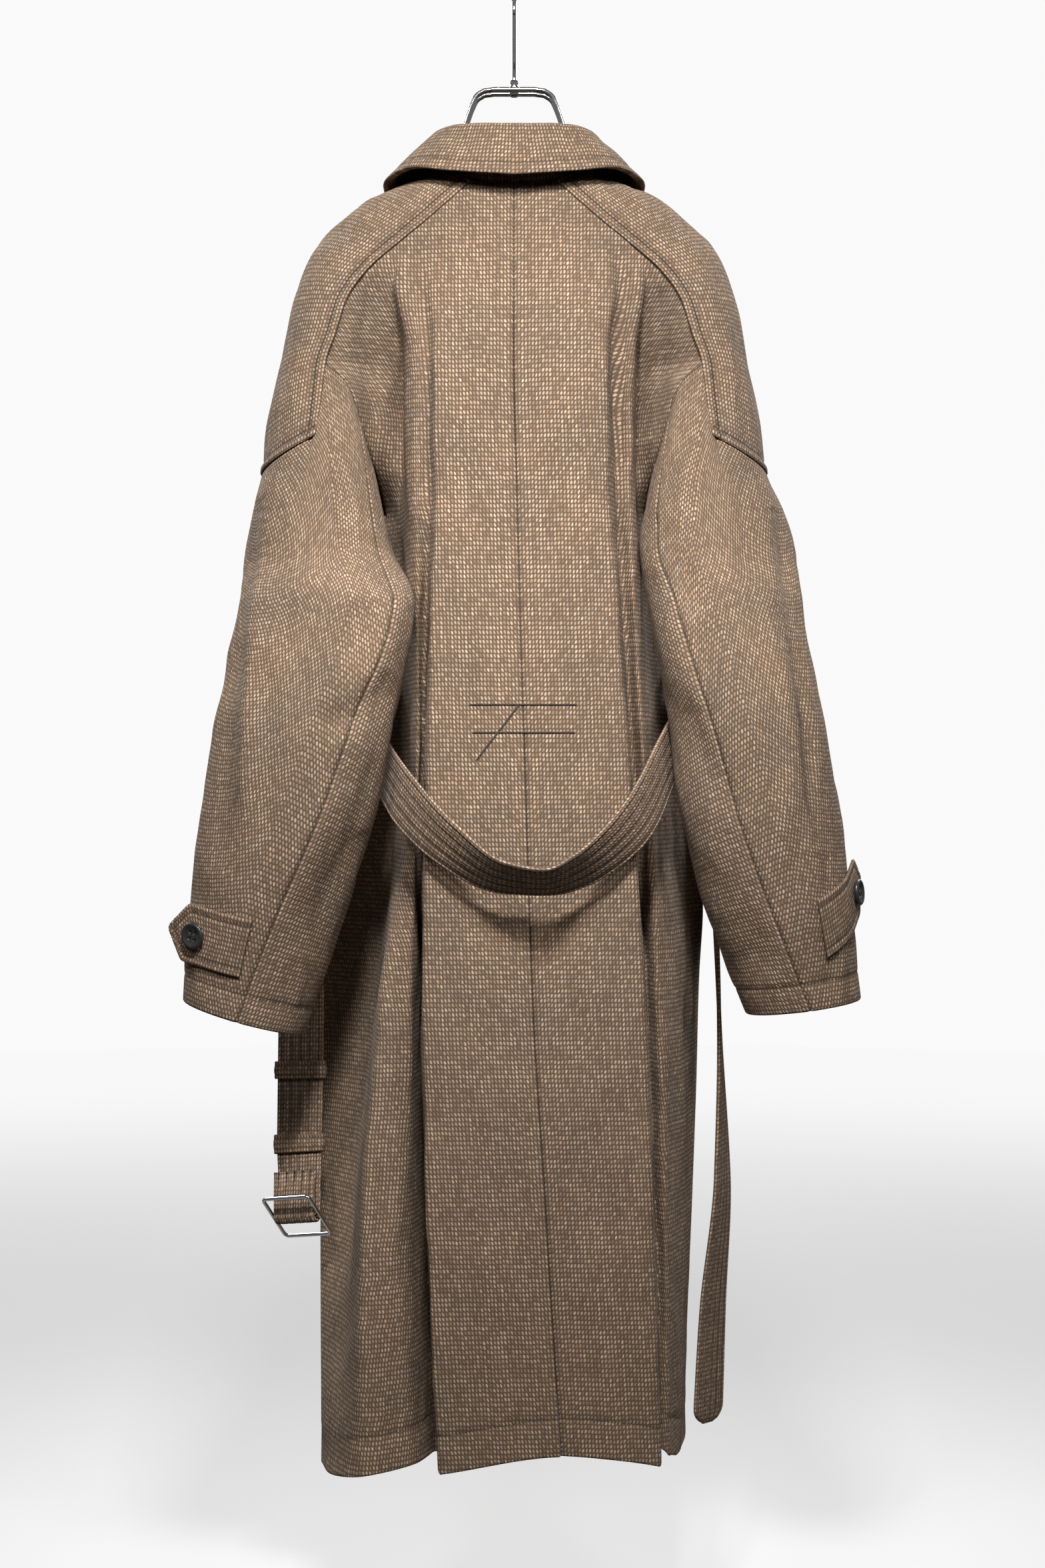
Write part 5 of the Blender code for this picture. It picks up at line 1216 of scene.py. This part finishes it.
def make_tabs(tweed, dark, thread):
    for side in (LEFT, RIGHT):
        name = SIDE_NAMES[side]
        ring = SLEEVE_RINGS[side][-2]
        core = np.array([ring.x, ring.y, ring.z])
        free = np.linspace(0, 1, TAB_FREE_STEPS + 1)[1:]
        grid = tab_grid(side, np.linspace(0, 1, TAB_STEPS), TAB_STEPS, free)
        grid = with_columns(grid, close_marks(TAB_STITCH), close_marks(TAB_STITCH), TAB_STEP)
        grid = with_rows(grid, EDGE_MARKS, close_marks(TAB_STITCH), TAB_STEP)
        edges = [Edge(place, "free", TAB_STITCH, 1) for place in ("first", "last", "bottom")]
        sew("cuff_tab_" + name, grid, core, edges, tweed, ripples=False,
            grain_turned=True)
        plain = tab_grid(side, np.linspace(0, 1, TAB_SEAT_STEPS), TAB_SEAT_LINES, TAB_FREE_SHARES)
        row, next_row = plain[-len(TAB_FREE_SHARES)], plain[1 - len(TAB_FREE_SHARES)]
        on = row.mean(0)
        normal = unit(np.cross(next_row.mean(0) - on, row[-1] - row[0]))
        normal = normal if normal @ (on - core) > 0 else -normal
        make_button(name, on + normal * SEAM_GAP, normal, unit(row[-1] - row[0]), dark, thread)


def turned_mesh(profile, steps):
    """A mesh turned about Z from pairs of radius and height."""
    mesh = bpy.data.meshes.new("turned")
    shape = bmesh.new()
    corners = [shape.verts.new((radius, 0, height)) for radius, height in profile]
    lines = [shape.edges.new(pair) for pair in zip(corners, corners[1:])]
    whole_turn = dict(cent=(0, 0, 0), axis=(0, 0, 1), angle=2 * math.pi, steps=steps, use_merge=True)
    bmesh.ops.spin(shape, geom=corners + lines, **whole_turn)
    bmesh.ops.remove_doubles(shape, verts=shape.verts, dist=MERGE)
    bmesh.ops.recalc_face_normals(shape, faces=shape.faces)
    shape.to_mesh(mesh)
    shape.free()
    mesh.shade_smooth()
    return mesh


def wire_mesh(points, radius, cyclic=False):
    """A round wire along points, as a bevelled curve turned to a mesh."""
    curve = bpy.data.curves.new("wire", "CURVE")
    curve.dimensions = "3D"
    curve.bevel_depth = radius
    curve.bevel_resolution = WIRE_ROUND
    curve.use_fill_caps = not cyclic
    spline = curve.splines.new("POLY")
    spline.points.add(len(points) - 1)
    for point, place in zip(spline.points, points):
        point.co = (*place, 1)
    spline.use_cyclic_u = cyclic
    spline.use_smooth = True
    holder = bpy.data.objects.new("wire_path", curve)
    mesh = bpy.data.meshes.new_from_object(holder)
    bpy.data.objects.remove(holder)
    return mesh


def make_button(name, place, normal, across, dark, thread):
    """A four-hole button on its tab, and the two bars of thread that hold it."""
    radius = BUTTON_DIAMETER / 2
    profile = [(r * radius, h * BUTTON_THICKNESS) for r, h in BUTTON_TURNING]
    disc = bpy.data.objects.new("button_disc", turned_mesh(profile, BUTTON_SPIN))
    punch = bmesh.new()
    for x in (-HOLE_OFFSET, HOLE_OFFSET):
        for y in (-HOLE_OFFSET, HOLE_OFFSET):
            at = Matrix.Translation((x, y, BUTTON_THICKNESS / 2))
            bmesh.ops.create_cone(punch, cap_ends=True, segments=HOLE_SEGMENTS, radius1=HOLE_RADIUS,
                                  radius2=HOLE_RADIUS, depth=2 * BUTTON_THICKNESS, matrix=at)
    holes = bpy.data.meshes.new("button_holes")
    punch.to_mesh(holes)
    punch.free()
    cutter = bpy.data.objects.new("button_punch", holes)
    for helper in (disc, cutter):
        bpy.context.scene.collection.objects.link(helper)
    cut = disc.modifiers.new("holes", "BOOLEAN")
    cut.operation, cut.object, cut.solver = "DIFFERENCE", cutter, "EXACT"
    mesh = bpy.data.meshes.new_from_object(disc.evaluated_get(bpy.context.evaluated_depsgraph_get()))
    for helper in (disc, cutter):
        bpy.data.objects.remove(helper)
    side = np.cross(normal, across)
    turned = Matrix(np.column_stack([across, side, normal]).tolist()).to_4x4()
    seat = Matrix.Translation(Vector(place)) @ turned
    mesh.transform(seat)
    show("button_" + name, mesh, dark, "cuff_button_" + name)
    for number, y in enumerate((-HOLE_OFFSET, HOLE_OFFSET)):
        rise = BUTTON_THICKNESS * BUTTON_TURNING[-1][1]
        near_end = [(-HOLE_OFFSET, y, 0), (-HOLE_OFFSET, y, rise)]
        far_end = [(HOLE_OFFSET, y, rise), (HOLE_OFFSET, y, 0)]
        bar = near_end + [(0, y, rise + THREAD_RISE)] + far_end
        strand = wire_mesh(glide_along(np.array(bar), np.linspace(0, 1, BAR_STEPS)), THREAD_RADIUS)
        strand.transform(seat)
        show(f"button_thread_{name}_{number}", strand, thread, None)


def belt_profile():
    """Places round the belt's section, across and off its middle, grooved at each row of stitches, with
    painted shade in each groove.
    """
    half_width, half_depth = BELT_WIDTH / 2, BELT_THICKNESS / 2
    flat = half_width - half_depth
    rows = np.linspace(-1, 1, BELT_STITCH_ROWS) * (half_width - BELT_STITCH_INSET)
    marks = [row + BELT_MARKS for row in rows]
    across = np.concatenate([np.linspace(-flat, flat, BELT_FLAT_STEPS), *marks])
    across = np.unique(np.round(across[np.abs(across) <= flat], PLACE_DIGITS))
    groove = sum(bump_at(across, row, BELT_GROOVE_REACH) for row in rows)
    rise = half_depth - BELT_GROOVE * groove
    turn = np.linspace(math.pi / 2, -math.pi / 2, BELT_EDGE_STEPS)[1:-1]
    side = flat + half_depth * np.cos(turn)
    xs = np.concatenate([across, side, across[::-1], -side])
    ys = np.concatenate([rise, half_depth * np.sin(turn), -rise[::-1], -half_depth * np.sin(turn)])
    bare = np.zeros(len(turn))
    shade = np.concatenate([groove, bare, groove[::-1], bare]) * BELT_SHADE
    return [np.append(values, values[0]) for values in (xs, ys, shade)], rows


def make_belt(tweed, chrome):
    points, widths, turn = belt_line(BELT_STEPS, BELT_TURN_STEPS)
    tangents = unit(np.gradient(points, axis=0))
    outs = unit(np.cross(tangents, widths))
    (xs, ys, shade), rows = belt_profile()
    thick = np.ones(len(points))
    thick[[0, -1]] = 0
    swell = thick[:, None] * ys
    length = line_lengths(points[None], 1)[0]
    from_tip = np.clip(1 - length / BELT_TIP, 0, 1)
    widths = widths * np.maximum(np.sqrt(1 - from_tip**2), BELT_TIP_LEAST)[:, None]
    grid = points[:, None] + widths[:, None] * xs[:, None] + outs[:, None] * swell[..., None]
    round_section = np.cumsum(np.pad(np.hypot(np.diff(xs), np.diff(ys)), (1, 0)))
    flat = np.stack(np.broadcast_arrays(round_section, -length[:, None]), -1)
    middle = len(points) // 2
    _, ahead = outward_normals(grid, points[middle])
    mesh = sheet_mesh("cloth_belt", grid, flat, np.broadcast_to(shade, grid.shape[:2]), ahead, closed=True)
    piece = show("cloth_belt", mesh, tweed, "belt")
    lift = BELT_THICKNESS / 2 - BELT_GROOVE + STITCH_RADIUS / 2
    for row in rows:
        for face in (-1, 1):
            line = points + widths * row + outs * face * lift
            STITCH_LINES["belt"].append(line[1:-1])
    for name, height in KEEPER_PLACES.items():
        make_keeper(name, height, tweed)
    for side in (LEFT, RIGHT):
        make_belt_loop(side, tweed)
    make_buckle(turn, chrome)


def make_keeper(name, height, tweed):
    """A band round the belt's hanging end."""
    middle, tangent, width = belt_frames(np.linspace(*KEEPER_SEARCH, KEEPER_SEARCH_STEPS))
    half_width = BELT_WIDTH / 2 + KEEPER_CLEARANCE + CLOTH
    half_depth = BELT_THICKNESS / 2 + KEEPER_CLEARANCE + CLOTH
    outline = rounded_outline(half_width, half_depth, half_depth * KEEPER_ROUND)
    outline.append(outline[0])
    rows = []
    for level in height + KEEPER_HEIGHT * np.linspace(HALF, -HALF, KEEPER_ROWS):
        at = np.argmin(np.abs(middle[:, 2] - level))
        out = unit(np.cross(tangent[at], width[at]))
        rows.append([middle[at] + width[at] * x + out * y for x, y in outline])
    grid = with_rows(np.array(rows), close_marks(KEEPER_STITCH), close_marks(KEEPER_STITCH), KEEPER_STEP)
    grid = with_columns(grid, np.array([0.0]), np.array([0.0]), KEEPER_STEP)
    core = middle[np.argmin(np.abs(middle[:, 2] - height))]
    edges = [Edge(place, "free", KEEPER_STITCH, 1) for place in ("top", "bottom")]
    node = "belt_keeper_" + name
    sew(node, grid, core, edges, tweed, ripples=False, closed=True)


def make_belt_loop(side, tweed):
    """A narrow strap sewn to the side seam above and below the belt."""
    places = LOOP_WIDTH * np.linspace(-HALF, HALF, LOOP_LINES)
    rows = []
    for share in np.linspace(0, 1, LOOP_STEPS):
        seam = edge_at(side, LOOP_TOP + (LOOP_BOTTOM - LOOP_TOP) * share)
        stands_off = smoothstep(0, LOOP_BEND, share) * (1 - smoothstep(1 - LOOP_BEND, 1, share))
        out = side * (CLOTH + LOOP_SEAT + LOOP_REACH * stands_off)
        rows.append([seam + np.array([out, across, 0]) for across in places])
    edges = [Edge(place, "free", None, 1) for place in ("first", "last")]
    grid = np.array(rows)
    sew("belt_loop_" + SIDE_NAMES[side], grid, (0, grid[0, 0, 1], WAIST), edges, tweed,
        ripples=False)


def make_buckle(turn, chrome):
    """The frame and its middle bar, swung about the bar so that its upper half stands off the belt."""
    centre, across = turn["centre"], turn["across"]
    flat = turn["down"] * math.cos(BUCKLE_TILT) - turn["out"] * math.sin(BUCKLE_TILT)
    half_width, half_height = (BUCKLE_WIDTH - BUCKLE_WIRE) / 2, (BUCKLE_HEIGHT - BUCKLE_WIRE) / 2
    outline = rounded_outline(half_width, half_height, BUCKLE_CORNER)
    rim = wire_mesh([centre + across * x + flat * y for x, y in outline], BUCKLE_WIRE / 2, cyclic=True)
    show("buckle_frame", rim, chrome, "belt_buckle", "buckle")
    bar = [centre + across * share for share in np.linspace(-half_width, half_width, BAR_STEPS)]
    show("buckle_bar", wire_mesh(bar, BUCKLE_BAR / 2), chrome, None, "buckle")


def make_hanger(chrome):
    """A closed loop of wire along the shoulders, and a hook on a boss."""
    loop = []
    leg = glide_along(np.array(YOKE_LEG), np.linspace(0, 1, LEG_STEPS))
    bar = np.linspace(-YOKE_HALF_WIDTH, YOKE_HALF_WIDTH, BAR_STEPS)
    for spread_y in (-1, 1):
        depth = spread_y * HANGER_SPREAD / 2
        left = [np.array([-x, depth, z]) for x, z in leg]
        right = [np.array([x, depth, z]) for x, z in leg[::-1]]
        top = [np.array([x, depth, YOKE_TOP]) for x in bar]
        run = shoulder_wire(LEFT, spread_y)[::-1] + left + top + right + shoulder_wire(RIGHT, spread_y)
        run = run if spread_y < 0 else run[::-1]
        loop += run + hanger_end(run, spread_y)
    show("hanger_wire", wire_mesh(loop, WIRE / 2, cyclic=True), chrome, "hanger_frame")
    bend = HOOK_BEND_RADIUS + HOOK_WIRE / 2
    low, high = bend * math.sin(HOOK_START), bend * math.cos(HOOK_START)
    stem = glide_along(np.array(HOOK_STEM), np.linspace(0, 1, LEG_STEPS))
    hook = [np.array([0, y, z]) for y, z in stem[:-1]]
    hook += arc((0, 0, -HOOK_BEND_RADIUS), (0, -high, -low), (0, -low, high), HOOK_SWEEP, HOOK_STEPS)
    show("hook_wire", wire_mesh(hook, HOOK_WIRE / 2), chrome, "hanger_hook")
    radius = HANGER_SPREAD / 2 - WIRE / 2 - SEAM_GAP
    profile = [(0, BOSS_LOW), (radius * BOSS_NECK, BOSS_LOW), (radius, BOSS_LOW + BOSS_ROUND)]
    profile += [(radius, BOSS_SHOULDER), (radius * BOSS_NECK, BOSS_TOP), (0, BOSS_TOP)]
    boss = turned_mesh(profile, BUTTON_SPIN)
    boss.transform(Matrix.Translation((0, 0, YOKE_TOP)))
    show("hook_boss", boss, chrome, None)


def stitch_tree():
    """Geometry nodes that lay small stitches along curves: pitch, length, radius and thread are inputs."""
    tree = bpy.data.node_groups.new("laid_stitches", "GeometryNodeTree")
    tree.interface.new_socket("Geometry", in_out="INPUT", socket_type="NodeSocketGeometry")
    for name in ("Pitch", "Length", "Radius"):
        tree.interface.new_socket(name, in_out="INPUT", socket_type="NodeSocketFloat")
    tree.interface.new_socket("Thread", in_out="INPUT", socket_type="NodeSocketMaterial")
    tree.interface.new_socket("Geometry", in_out="OUTPUT", socket_type="NodeSocketGeometry")
    given, made = tree.nodes.new("NodeGroupInput"), tree.nodes.new("NodeGroupOutput")
    along = tree.nodes.new("GeometryNodeCurveToPoints")
    along.mode = "LENGTH"
    bead = tree.nodes.new("GeometryNodeMeshUVSphere")
    bead.inputs["Segments"].default_value = STITCH_SEGMENTS
    bead.inputs["Rings"].default_value = STITCH_RINGS
    size = tree.nodes.new("ShaderNodeCombineXYZ")
    half = tree.nodes.new("ShaderNodeMath")
    half.operation = "DIVIDE"
    half.inputs[1].default_value = 2
    laid = tree.nodes.new("GeometryNodeInstanceOnPoints")
    real, dyed = tree.nodes.new("GeometryNodeRealizeInstances"), tree.nodes.new("GeometryNodeSetMaterial")
    link = tree.links.new
    link(given.outputs["Geometry"], along.inputs["Curve"])
    link(given.outputs["Pitch"], along.inputs["Length"])
    link(given.outputs["Length"], half.inputs[0])
    for axis in "XY":
        link(given.outputs["Radius"], size.inputs[axis])
    link(half.outputs[0], size.inputs["Z"])
    link(along.outputs["Points"], laid.inputs["Points"])
    link(bead.outputs["Mesh"], laid.inputs["Instance"])
    link(along.outputs["Rotation"], laid.inputs["Rotation"])
    link(size.outputs["Vector"], laid.inputs["Scale"])
    link(laid.outputs["Instances"], real.inputs["Geometry"])
    link(real.outputs["Geometry"], dyed.inputs["Geometry"])
    link(given.outputs["Thread"], dyed.inputs["Material"])
    link(dyed.outputs["Geometry"], made.inputs["Geometry"])
    return tree


def lay_stitches(name, lines, pitch, tree, thread, radius=STITCH_RADIUS):
    """Stitches along lines, turned into one plain mesh."""
    curve = bpy.data.curves.new(name, "CURVE")
    curve.dimensions = "3D"
    for line in lines:
        spline = curve.splines.new("POLY")
        spline.points.add(len(line) - 1)
        for point, place in zip(spline.points, line):
            point.co = (*place, 1)
    holder = bpy.data.objects.new(name + "_lines", curve)
    bpy.context.scene.collection.objects.link(holder)
    laid = holder.modifiers.new("stitches", "NODES")
    laid.node_group = tree
    values = {"Pitch": pitch, "Length": STITCH_LENGTH, "Radius": radius, "Thread": thread}
    for item in tree.interface.items_tree:
        if item.in_out == "INPUT" and item.name in values:
            laid[item.identifier] = values[item.name]
    mesh = bpy.data.meshes.new_from_object(holder.evaluated_get(bpy.context.evaluated_depsgraph_get()))
    holder.modifiers.remove(laid)
    bpy.data.objects.remove(holder)
    show(name, mesh, thread, None)


def tack_lines(backs):
    """The rows of the tack above the vent, dropped onto the finished back panels from behind."""
    trees = []
    for grid in backs:
        trees.append(BVHTree.FromPolygons(grid.reshape(-1, 3).tolist(), grid_faces(grid).tolist()))
    lines = []
    for start, end in (*TACK_ROWS, TACK_SLANT):
        line = []
        for x, z in np.linspace(start, end, TACK_SAMPLES):
            hits = [tree.ray_cast((x, -1, z), (0, 1, 0))[0] for tree in trees]
            hits = [hit for hit in hits if hit]
            if hits:
                line.append(np.array(min(hits, key=lambda hit: hit.y)))
        lines.append(np.array(line))
    return lines


def add(tree, kind, *inputs, output=0, named=None, **settings):
    """A node with its settings, its inputs set to values or joined to other sockets; gives one output."""
    node = tree.nodes.new(kind)
    for name, value in settings.items():
        setattr(node, name, value)
    pairs = list(zip(node.inputs, inputs))
    pairs += [(node.inputs[name], value) for name, value in (named or {}).items()]
    for socket, value in pairs:
        if isinstance(value, bpy.types.NodeSocket):
            tree.links.new(value, socket)
        elif value is not None:
            socket.default_value = value
    return node.outputs[output]


def sum_of(tree, operation, *values):
    return add(tree, "ShaderNodeMath", *values, operation=operation)


def blended(tree, share, first, second, way="MIX"):
    sockets = dict(zip(COLOUR_MIX_INPUTS, (share, first, second)))
    settings = {"data_type": "RGBA", "blend_type": way}
    return add(tree, "ShaderNodeMix", output=COLOUR_MIX_OUTPUT, named=sockets, **settings)


def noise(tree, vector, scale, detail=NOISE_DETAIL, output=0):
    named = {"Vector": vector, "Scale": scale, "Detail": detail}
    return add(tree, "ShaderNodeTexNoise", output=output, named=named)


def span(tree, value, low, high, to_low=0.0, to_high=1.0, smooth=False):
    way = "SMOOTHSTEP" if smooth else "LINEAR"
    return add(tree, "ShaderNodeMapRange", value, low, high, to_low, to_high, interpolation_type=way)


def tweed_weave():
    """Slanted beige slubs in columns and rows on a brown ground; puts out its colour and its height."""
    tree = bpy.data.node_groups.new("tweed_weave", "ShaderNodeTree")
    tree.interface.new_socket("Pattern", in_out="INPUT", socket_type="NodeSocketVector")
    for name in ("Column", "Row", "Slant"):
        tree.interface.new_socket(name, in_out="INPUT", socket_type="NodeSocketFloat")
    for name in ("Slub", "Ground", "Fleck"):
        tree.interface.new_socket(name, in_out="INPUT", socket_type="NodeSocketColor")
    tree.interface.new_socket("Color", in_out="OUTPUT", socket_type="NodeSocketColor")
    tree.interface.new_socket("Height", in_out="OUTPUT", socket_type="NodeSocketFloat")
    given = tree.nodes.new("NodeGroupInput").outputs
    stray = noise(tree, given["Pattern"], WANDER_SCALE, output=1)
    wander = add(tree, "ShaderNodeVectorMath", stray, (HALF, HALF, HALF), operation="SUBTRACT")
    wander = add(tree, "ShaderNodeVectorMath", wander, WANDER_REACH, operation="MULTIPLY")
    placed = add(tree, "ShaderNodeVectorMath", given["Pattern"], wander, operation="ADD")
    split = tree.nodes.new("ShaderNodeSeparateXYZ")
    tree.links.new(placed, split.inputs[0])
    u = sum_of(tree, "DIVIDE", split.outputs[0], given["Column"])
    column = sum_of(tree, "FLOOR", u)
    shift = add(tree, "ShaderNodeTexWhiteNoise", named={"W": column}, noise_dimensions="1D")
    stagger = sum_of(tree, "MULTIPLY", shift, COLUMN_STAGGER)
    v = sum_of(tree, "ADD", sum_of(tree, "DIVIDE", split.outputs[1], given["Row"]), stagger)
    row = sum_of(tree, "FLOOR", v)
    cell = add(tree, "ShaderNodeCombineXYZ", column, row, 0.0)
    chance = add(tree, "ShaderNodeTexWhiteNoise", cell, noise_dimensions="2D")
    other = add(tree, "ShaderNodeTexWhiteNoise", cell, SECOND_CHANCE, noise_dimensions="4D")
    in_column = sum_of(tree, "SUBTRACT", sum_of(tree, "FRACT", u), HALF)
    in_row = sum_of(tree, "SUBTRACT", sum_of(tree, "FRACT", v), HALF)
    leaning = sum_of(tree, "SUBTRACT", in_column, sum_of(tree, "MULTIPLY", in_row, given["Slant"]))
    half_width = span(tree, other, 0, 1, *SLUB_HALF_WIDTH)
    wide = sum_of(tree, "POWER", sum_of(tree, "DIVIDE", leaning, half_width), 2.0)
    tall = sum_of(tree, "POWER", sum_of(tree, "DIVIDE", in_row, SLUB_HALF_HEIGHT), 2.0)
    reach = sum_of(tree, "SQRT", sum_of(tree, "ADD", wide, tall))
    slub = span(tree, reach, *SLUB_EDGE, 1.0, 0.0, smooth=True)
    fine = add(tree, "ShaderNodeMapping", given["Pattern"], named={"Scale": FIBRE_STRETCH})
    fibre = noise(tree, fine, *FIBRE)
    strength = sum_of(tree, "MULTIPLY", slub, span(tree, chance, 0, 1, *SLUB_STRENGTH))
    course = add(tree, "ShaderNodeTexWhiteNoise", named={"W": row}, noise_dimensions="1D")
    down_streak, cross_streak = span(tree, shift, 0, 1, *COLUMN_TONE), span(tree, course, 0, 1, *ROW_TONE)
    strength = sum_of(tree, "MULTIPLY", strength, sum_of(tree, "MULTIPLY", down_streak, cross_streak))
    strength = sum_of(tree, "MULTIPLY", strength, span(tree, fibre, *NOISE_MIDDLE, *FIBRE_TONE))
    colour = blended(tree, strength, given["Ground"], given["Slub"])
    rare = span(tree, other, *FLECK_CHANCE, 0.0, FLECK_STRENGTH)
    colour = blended(tree, sum_of(tree, "MULTIPLY", rare, slub), colour, given["Fleck"])
    cloudy = noise(tree, given["Pattern"], *CLOUD)
    tones = [span(tree, cloudy, *NOISE_MIDDLE, *tone) for tone in CLOUD_TONES]
    colour = blended(tree, 1.0, colour, add(tree, "ShaderNodeCombineColor", *tones), "MULTIPLY")
    made = tree.nodes.new("NodeGroupOutput")
    tree.links.new(colour, made.inputs["Color"])
    fuzz = sum_of(tree, "MULTIPLY", fibre, FIBRE_HEIGHT)
    tree.links.new(sum_of(tree, "ADD", slub, fuzz), made.inputs["Height"])
    return tree


def fresh_material(name):
    made = bpy.data.materials.new(name)
    made.use_nodes = True
    return made, made.node_tree, made.node_tree.nodes["Principled BSDF"]


def roughened(tree, shader, strength, depth, height):
    """Fine relief on a material, from a height that changes over the surface."""
    relief = add(tree, "ShaderNodeBump", named={"Strength": strength, "Distance": depth, "Height": height})
    tree.links.new(relief, shader.inputs["Normal"])


def tweed_material():
    made, tree, shader = fresh_material("tweed")
    weave = tree.nodes.new("ShaderNodeGroup")
    weave.node_tree = tweed_weave()
    sizes = {"Column": WEAVE_COLUMN, "Row": WEAVE_ROW, "Slant": WEAVE_SLANT}
    colours = {"Slub": DOT_BEIGE, "Ground": GROUND_BROWN, "Fleck": WARM_FLECK}
    for name, value in {**sizes, **colours}.items():
        weave.inputs[name].default_value = value
    tree.links.new(add(tree, "ShaderNodeUVMap", uv_map="flat_pattern"), weave.inputs["Pattern"])
    # Painted shade: the weave's colour is darkened in seams, under lap edges and along stitch grooves
    painted_shade = add(tree, "ShaderNodeAttribute", output=ATTRIBUTE_VALUE, attribute_name="seam_shade")
    light = span(tree, painted_shade, 0, 1, 1.0, DEEPEST_SHADE)
    shade = add(tree, "ShaderNodeCombineColor", light, light, light)
    shaded = blended(tree, 1.0, weave.outputs["Color"], shade, "MULTIPLY")
    tree.links.new(shaded, shader.inputs["Base Color"])
    roughened(tree, shader, *TWEED_RELIEF, weave.outputs["Height"])
    rough = span(tree, weave.outputs["Height"], *TWEED_HEIGHTS, *TWEED_ROUGHNESS)
    tree.links.new(rough, shader.inputs["Roughness"])
    for name, value in TWEED_FINISH.items():
        shader.inputs[name].default_value = value
    return made


def mottled_material(name, mottle, colours, roughness):
    """A material whose colour and roughness drift together over the piece."""
    made, tree, shader = fresh_material(name)
    place = add(tree, "ShaderNodeTexCoord", output=OBJECT_PLACE)
    drift = noise(tree, place, *mottle)
    tree.links.new(blended(tree, drift, *colours), shader.inputs["Base Color"])
    tree.links.new(span(tree, drift, *NOISE_MIDDLE, *roughness), shader.inputs["Roughness"])
    return made, tree, shader, place


def thread_material():
    return mottled_material("thread", THREAD_MOTTLE, (THREAD_BROWN_AND_GROOVE_SHADE, THREAD_LIGHT), THREAD_ROUGHNESS)[0]


def chrome_material():
    colours = (CHROME_GREY, CHROME_DULL)
    made, tree, shader, place = mottled_material("chrome", CHROME_SMEAR, colours, CHROME_ROUGHNESS)
    roughened(tree, shader, *CHROME_RELIEF, noise(tree, place, CHROME_SCRATCH))
    shader.inputs["Metallic"].default_value = 1.0
    return made


def button_material():
    colours = (BUTTON_DARK, BUTTON_GREY)
    made, tree, shader, place = mottled_material("button_black", BUTTON_SWIRL, colours, BUTTON_ROUGHNESS)
    roughened(tree, shader, *BUTTON_RELIEF, noise(tree, place, BUTTON_GRAIN))
    return made


def make_stage():
    """A round pale floor that fades into the white all round it."""
    made, tree, shader = fresh_material("floor")
    shader.inputs["Base Color"].default_value = FLOOR_GREY
    shader.inputs["Roughness"].default_value = FLOOR_ROUGHNESS
    shader.inputs["Emission Color"].default_value = WHITE
    place = add(tree, "ShaderNodeNewGeometry")
    away = add(tree, "ShaderNodeVectorMath", place, output=1, operation="LENGTH")
    glow = span(tree, away, *FLOOR_FADE, FLOOR_GLOW, FLOOR_FAR, smooth=True)
    seen = tree.nodes.new("ShaderNodeLightPath").outputs["Is Camera Ray"]
    tree.links.new(sum_of(tree, "MULTIPLY", glow, seen), shader.inputs["Emission Strength"])
    turns = np.linspace(0, 2 * math.pi, FLOOR_SIDES, endpoint=False)
    rim = [(FLOOR_RADIUS * math.cos(turn), FLOOR_RADIUS * math.sin(turn), FLOOR) for turn in turns]
    mesh = bpy.data.meshes.new("floor")
    mesh.from_pydata(rim, [], [list(range(FLOOR_SIDES))])
    mesh.materials.append(made)
    piece = bpy.data.objects.new("floor", mesh)
    bpy.context.scene.collection.objects.link(piece)


def area_light(name, place, aim, size, watts, spread):
    lamp = bpy.data.lights.new(name, "AREA")
    lamp.shape = "RECTANGLE"
    lamp.size, lamp.size_y = size
    lamp.energy = watts
    lamp.spread = spread
    holder = bpy.data.objects.new(name, lamp)
    holder.location = place
    holder.rotation_euler = (Vector(aim) - Vector(place)).to_track_quat("-Z", "Y").to_euler()
    holder.visible_camera = False
    bpy.context.scene.collection.objects.link(holder)


def light_scene():
    scene = bpy.context.scene
    scene.view_settings.view_transform = "Standard"
    scene.view_settings.look = "None"
    world = bpy.data.worlds.new("studio")
    world.use_nodes = True
    tree = world.node_tree
    path = tree.nodes.new("ShaderNodeLightPath").outputs
    seen = span(tree, path["Is Camera Ray"], 0, 1, WORLD_GLOW, WORLD_SEEN)
    mirrored_glow = sum_of(tree, "MULTIPLY", path["Is Glossy Ray"], WORLD_MIRRORED)
    glow = sum_of(tree, "MAXIMUM", seen, mirrored_glow)
    tree.links.new(glow, tree.nodes["Background"].inputs["Strength"])
    tree.nodes["Background"].inputs["Color"].default_value = WHITE
    scene.world = world
    for name, place, aim, size, watts, spread in LIGHTS:
        area_light(name, place, aim, size, watts, spread)


def place_camera():
    lens = bpy.data.cameras.new("camera")
    lens.lens, lens.sensor_width, lens.sensor_fit = CAMERA_LENS, SENSOR_WIDTH, "AUTO"
    holder = bpy.data.objects.new("camera", lens)
    holder.location = CAMERA_PLACE
    holder.rotation_euler = (math.pi / 2, 0, 0)
    bpy.context.scene.collection.objects.link(holder)
    bpy.context.scene.camera = holder


def main():
    tweed, thread, chrome, dark = tweed_material(), thread_material(), chrome_material(), button_material()
    backs = make_backs(tweed)
    make_vent(tweed)
    make_fronts(tweed)
    make_saddles(tweed)
    make_sleeves(tweed)
    make_collar(tweed)
    make_tabs(tweed, dark, thread)
    make_belt(tweed, chrome)
    make_hanger(chrome)
    tree = stitch_tree()
    lay_stitches("coat_stitches", STITCH_LINES["coat"], STITCH_PITCH, tree, thread)
    lay_stitches("tack_stitches", tack_lines(backs), TACK_PITCH, tree, thread, TACK_RADIUS)
    lay_stitches("belt_stitches", STITCH_LINES["belt"], BELT_PITCH, tree, thread)
    make_stage()
    light_scene()
    place_camera()


main()
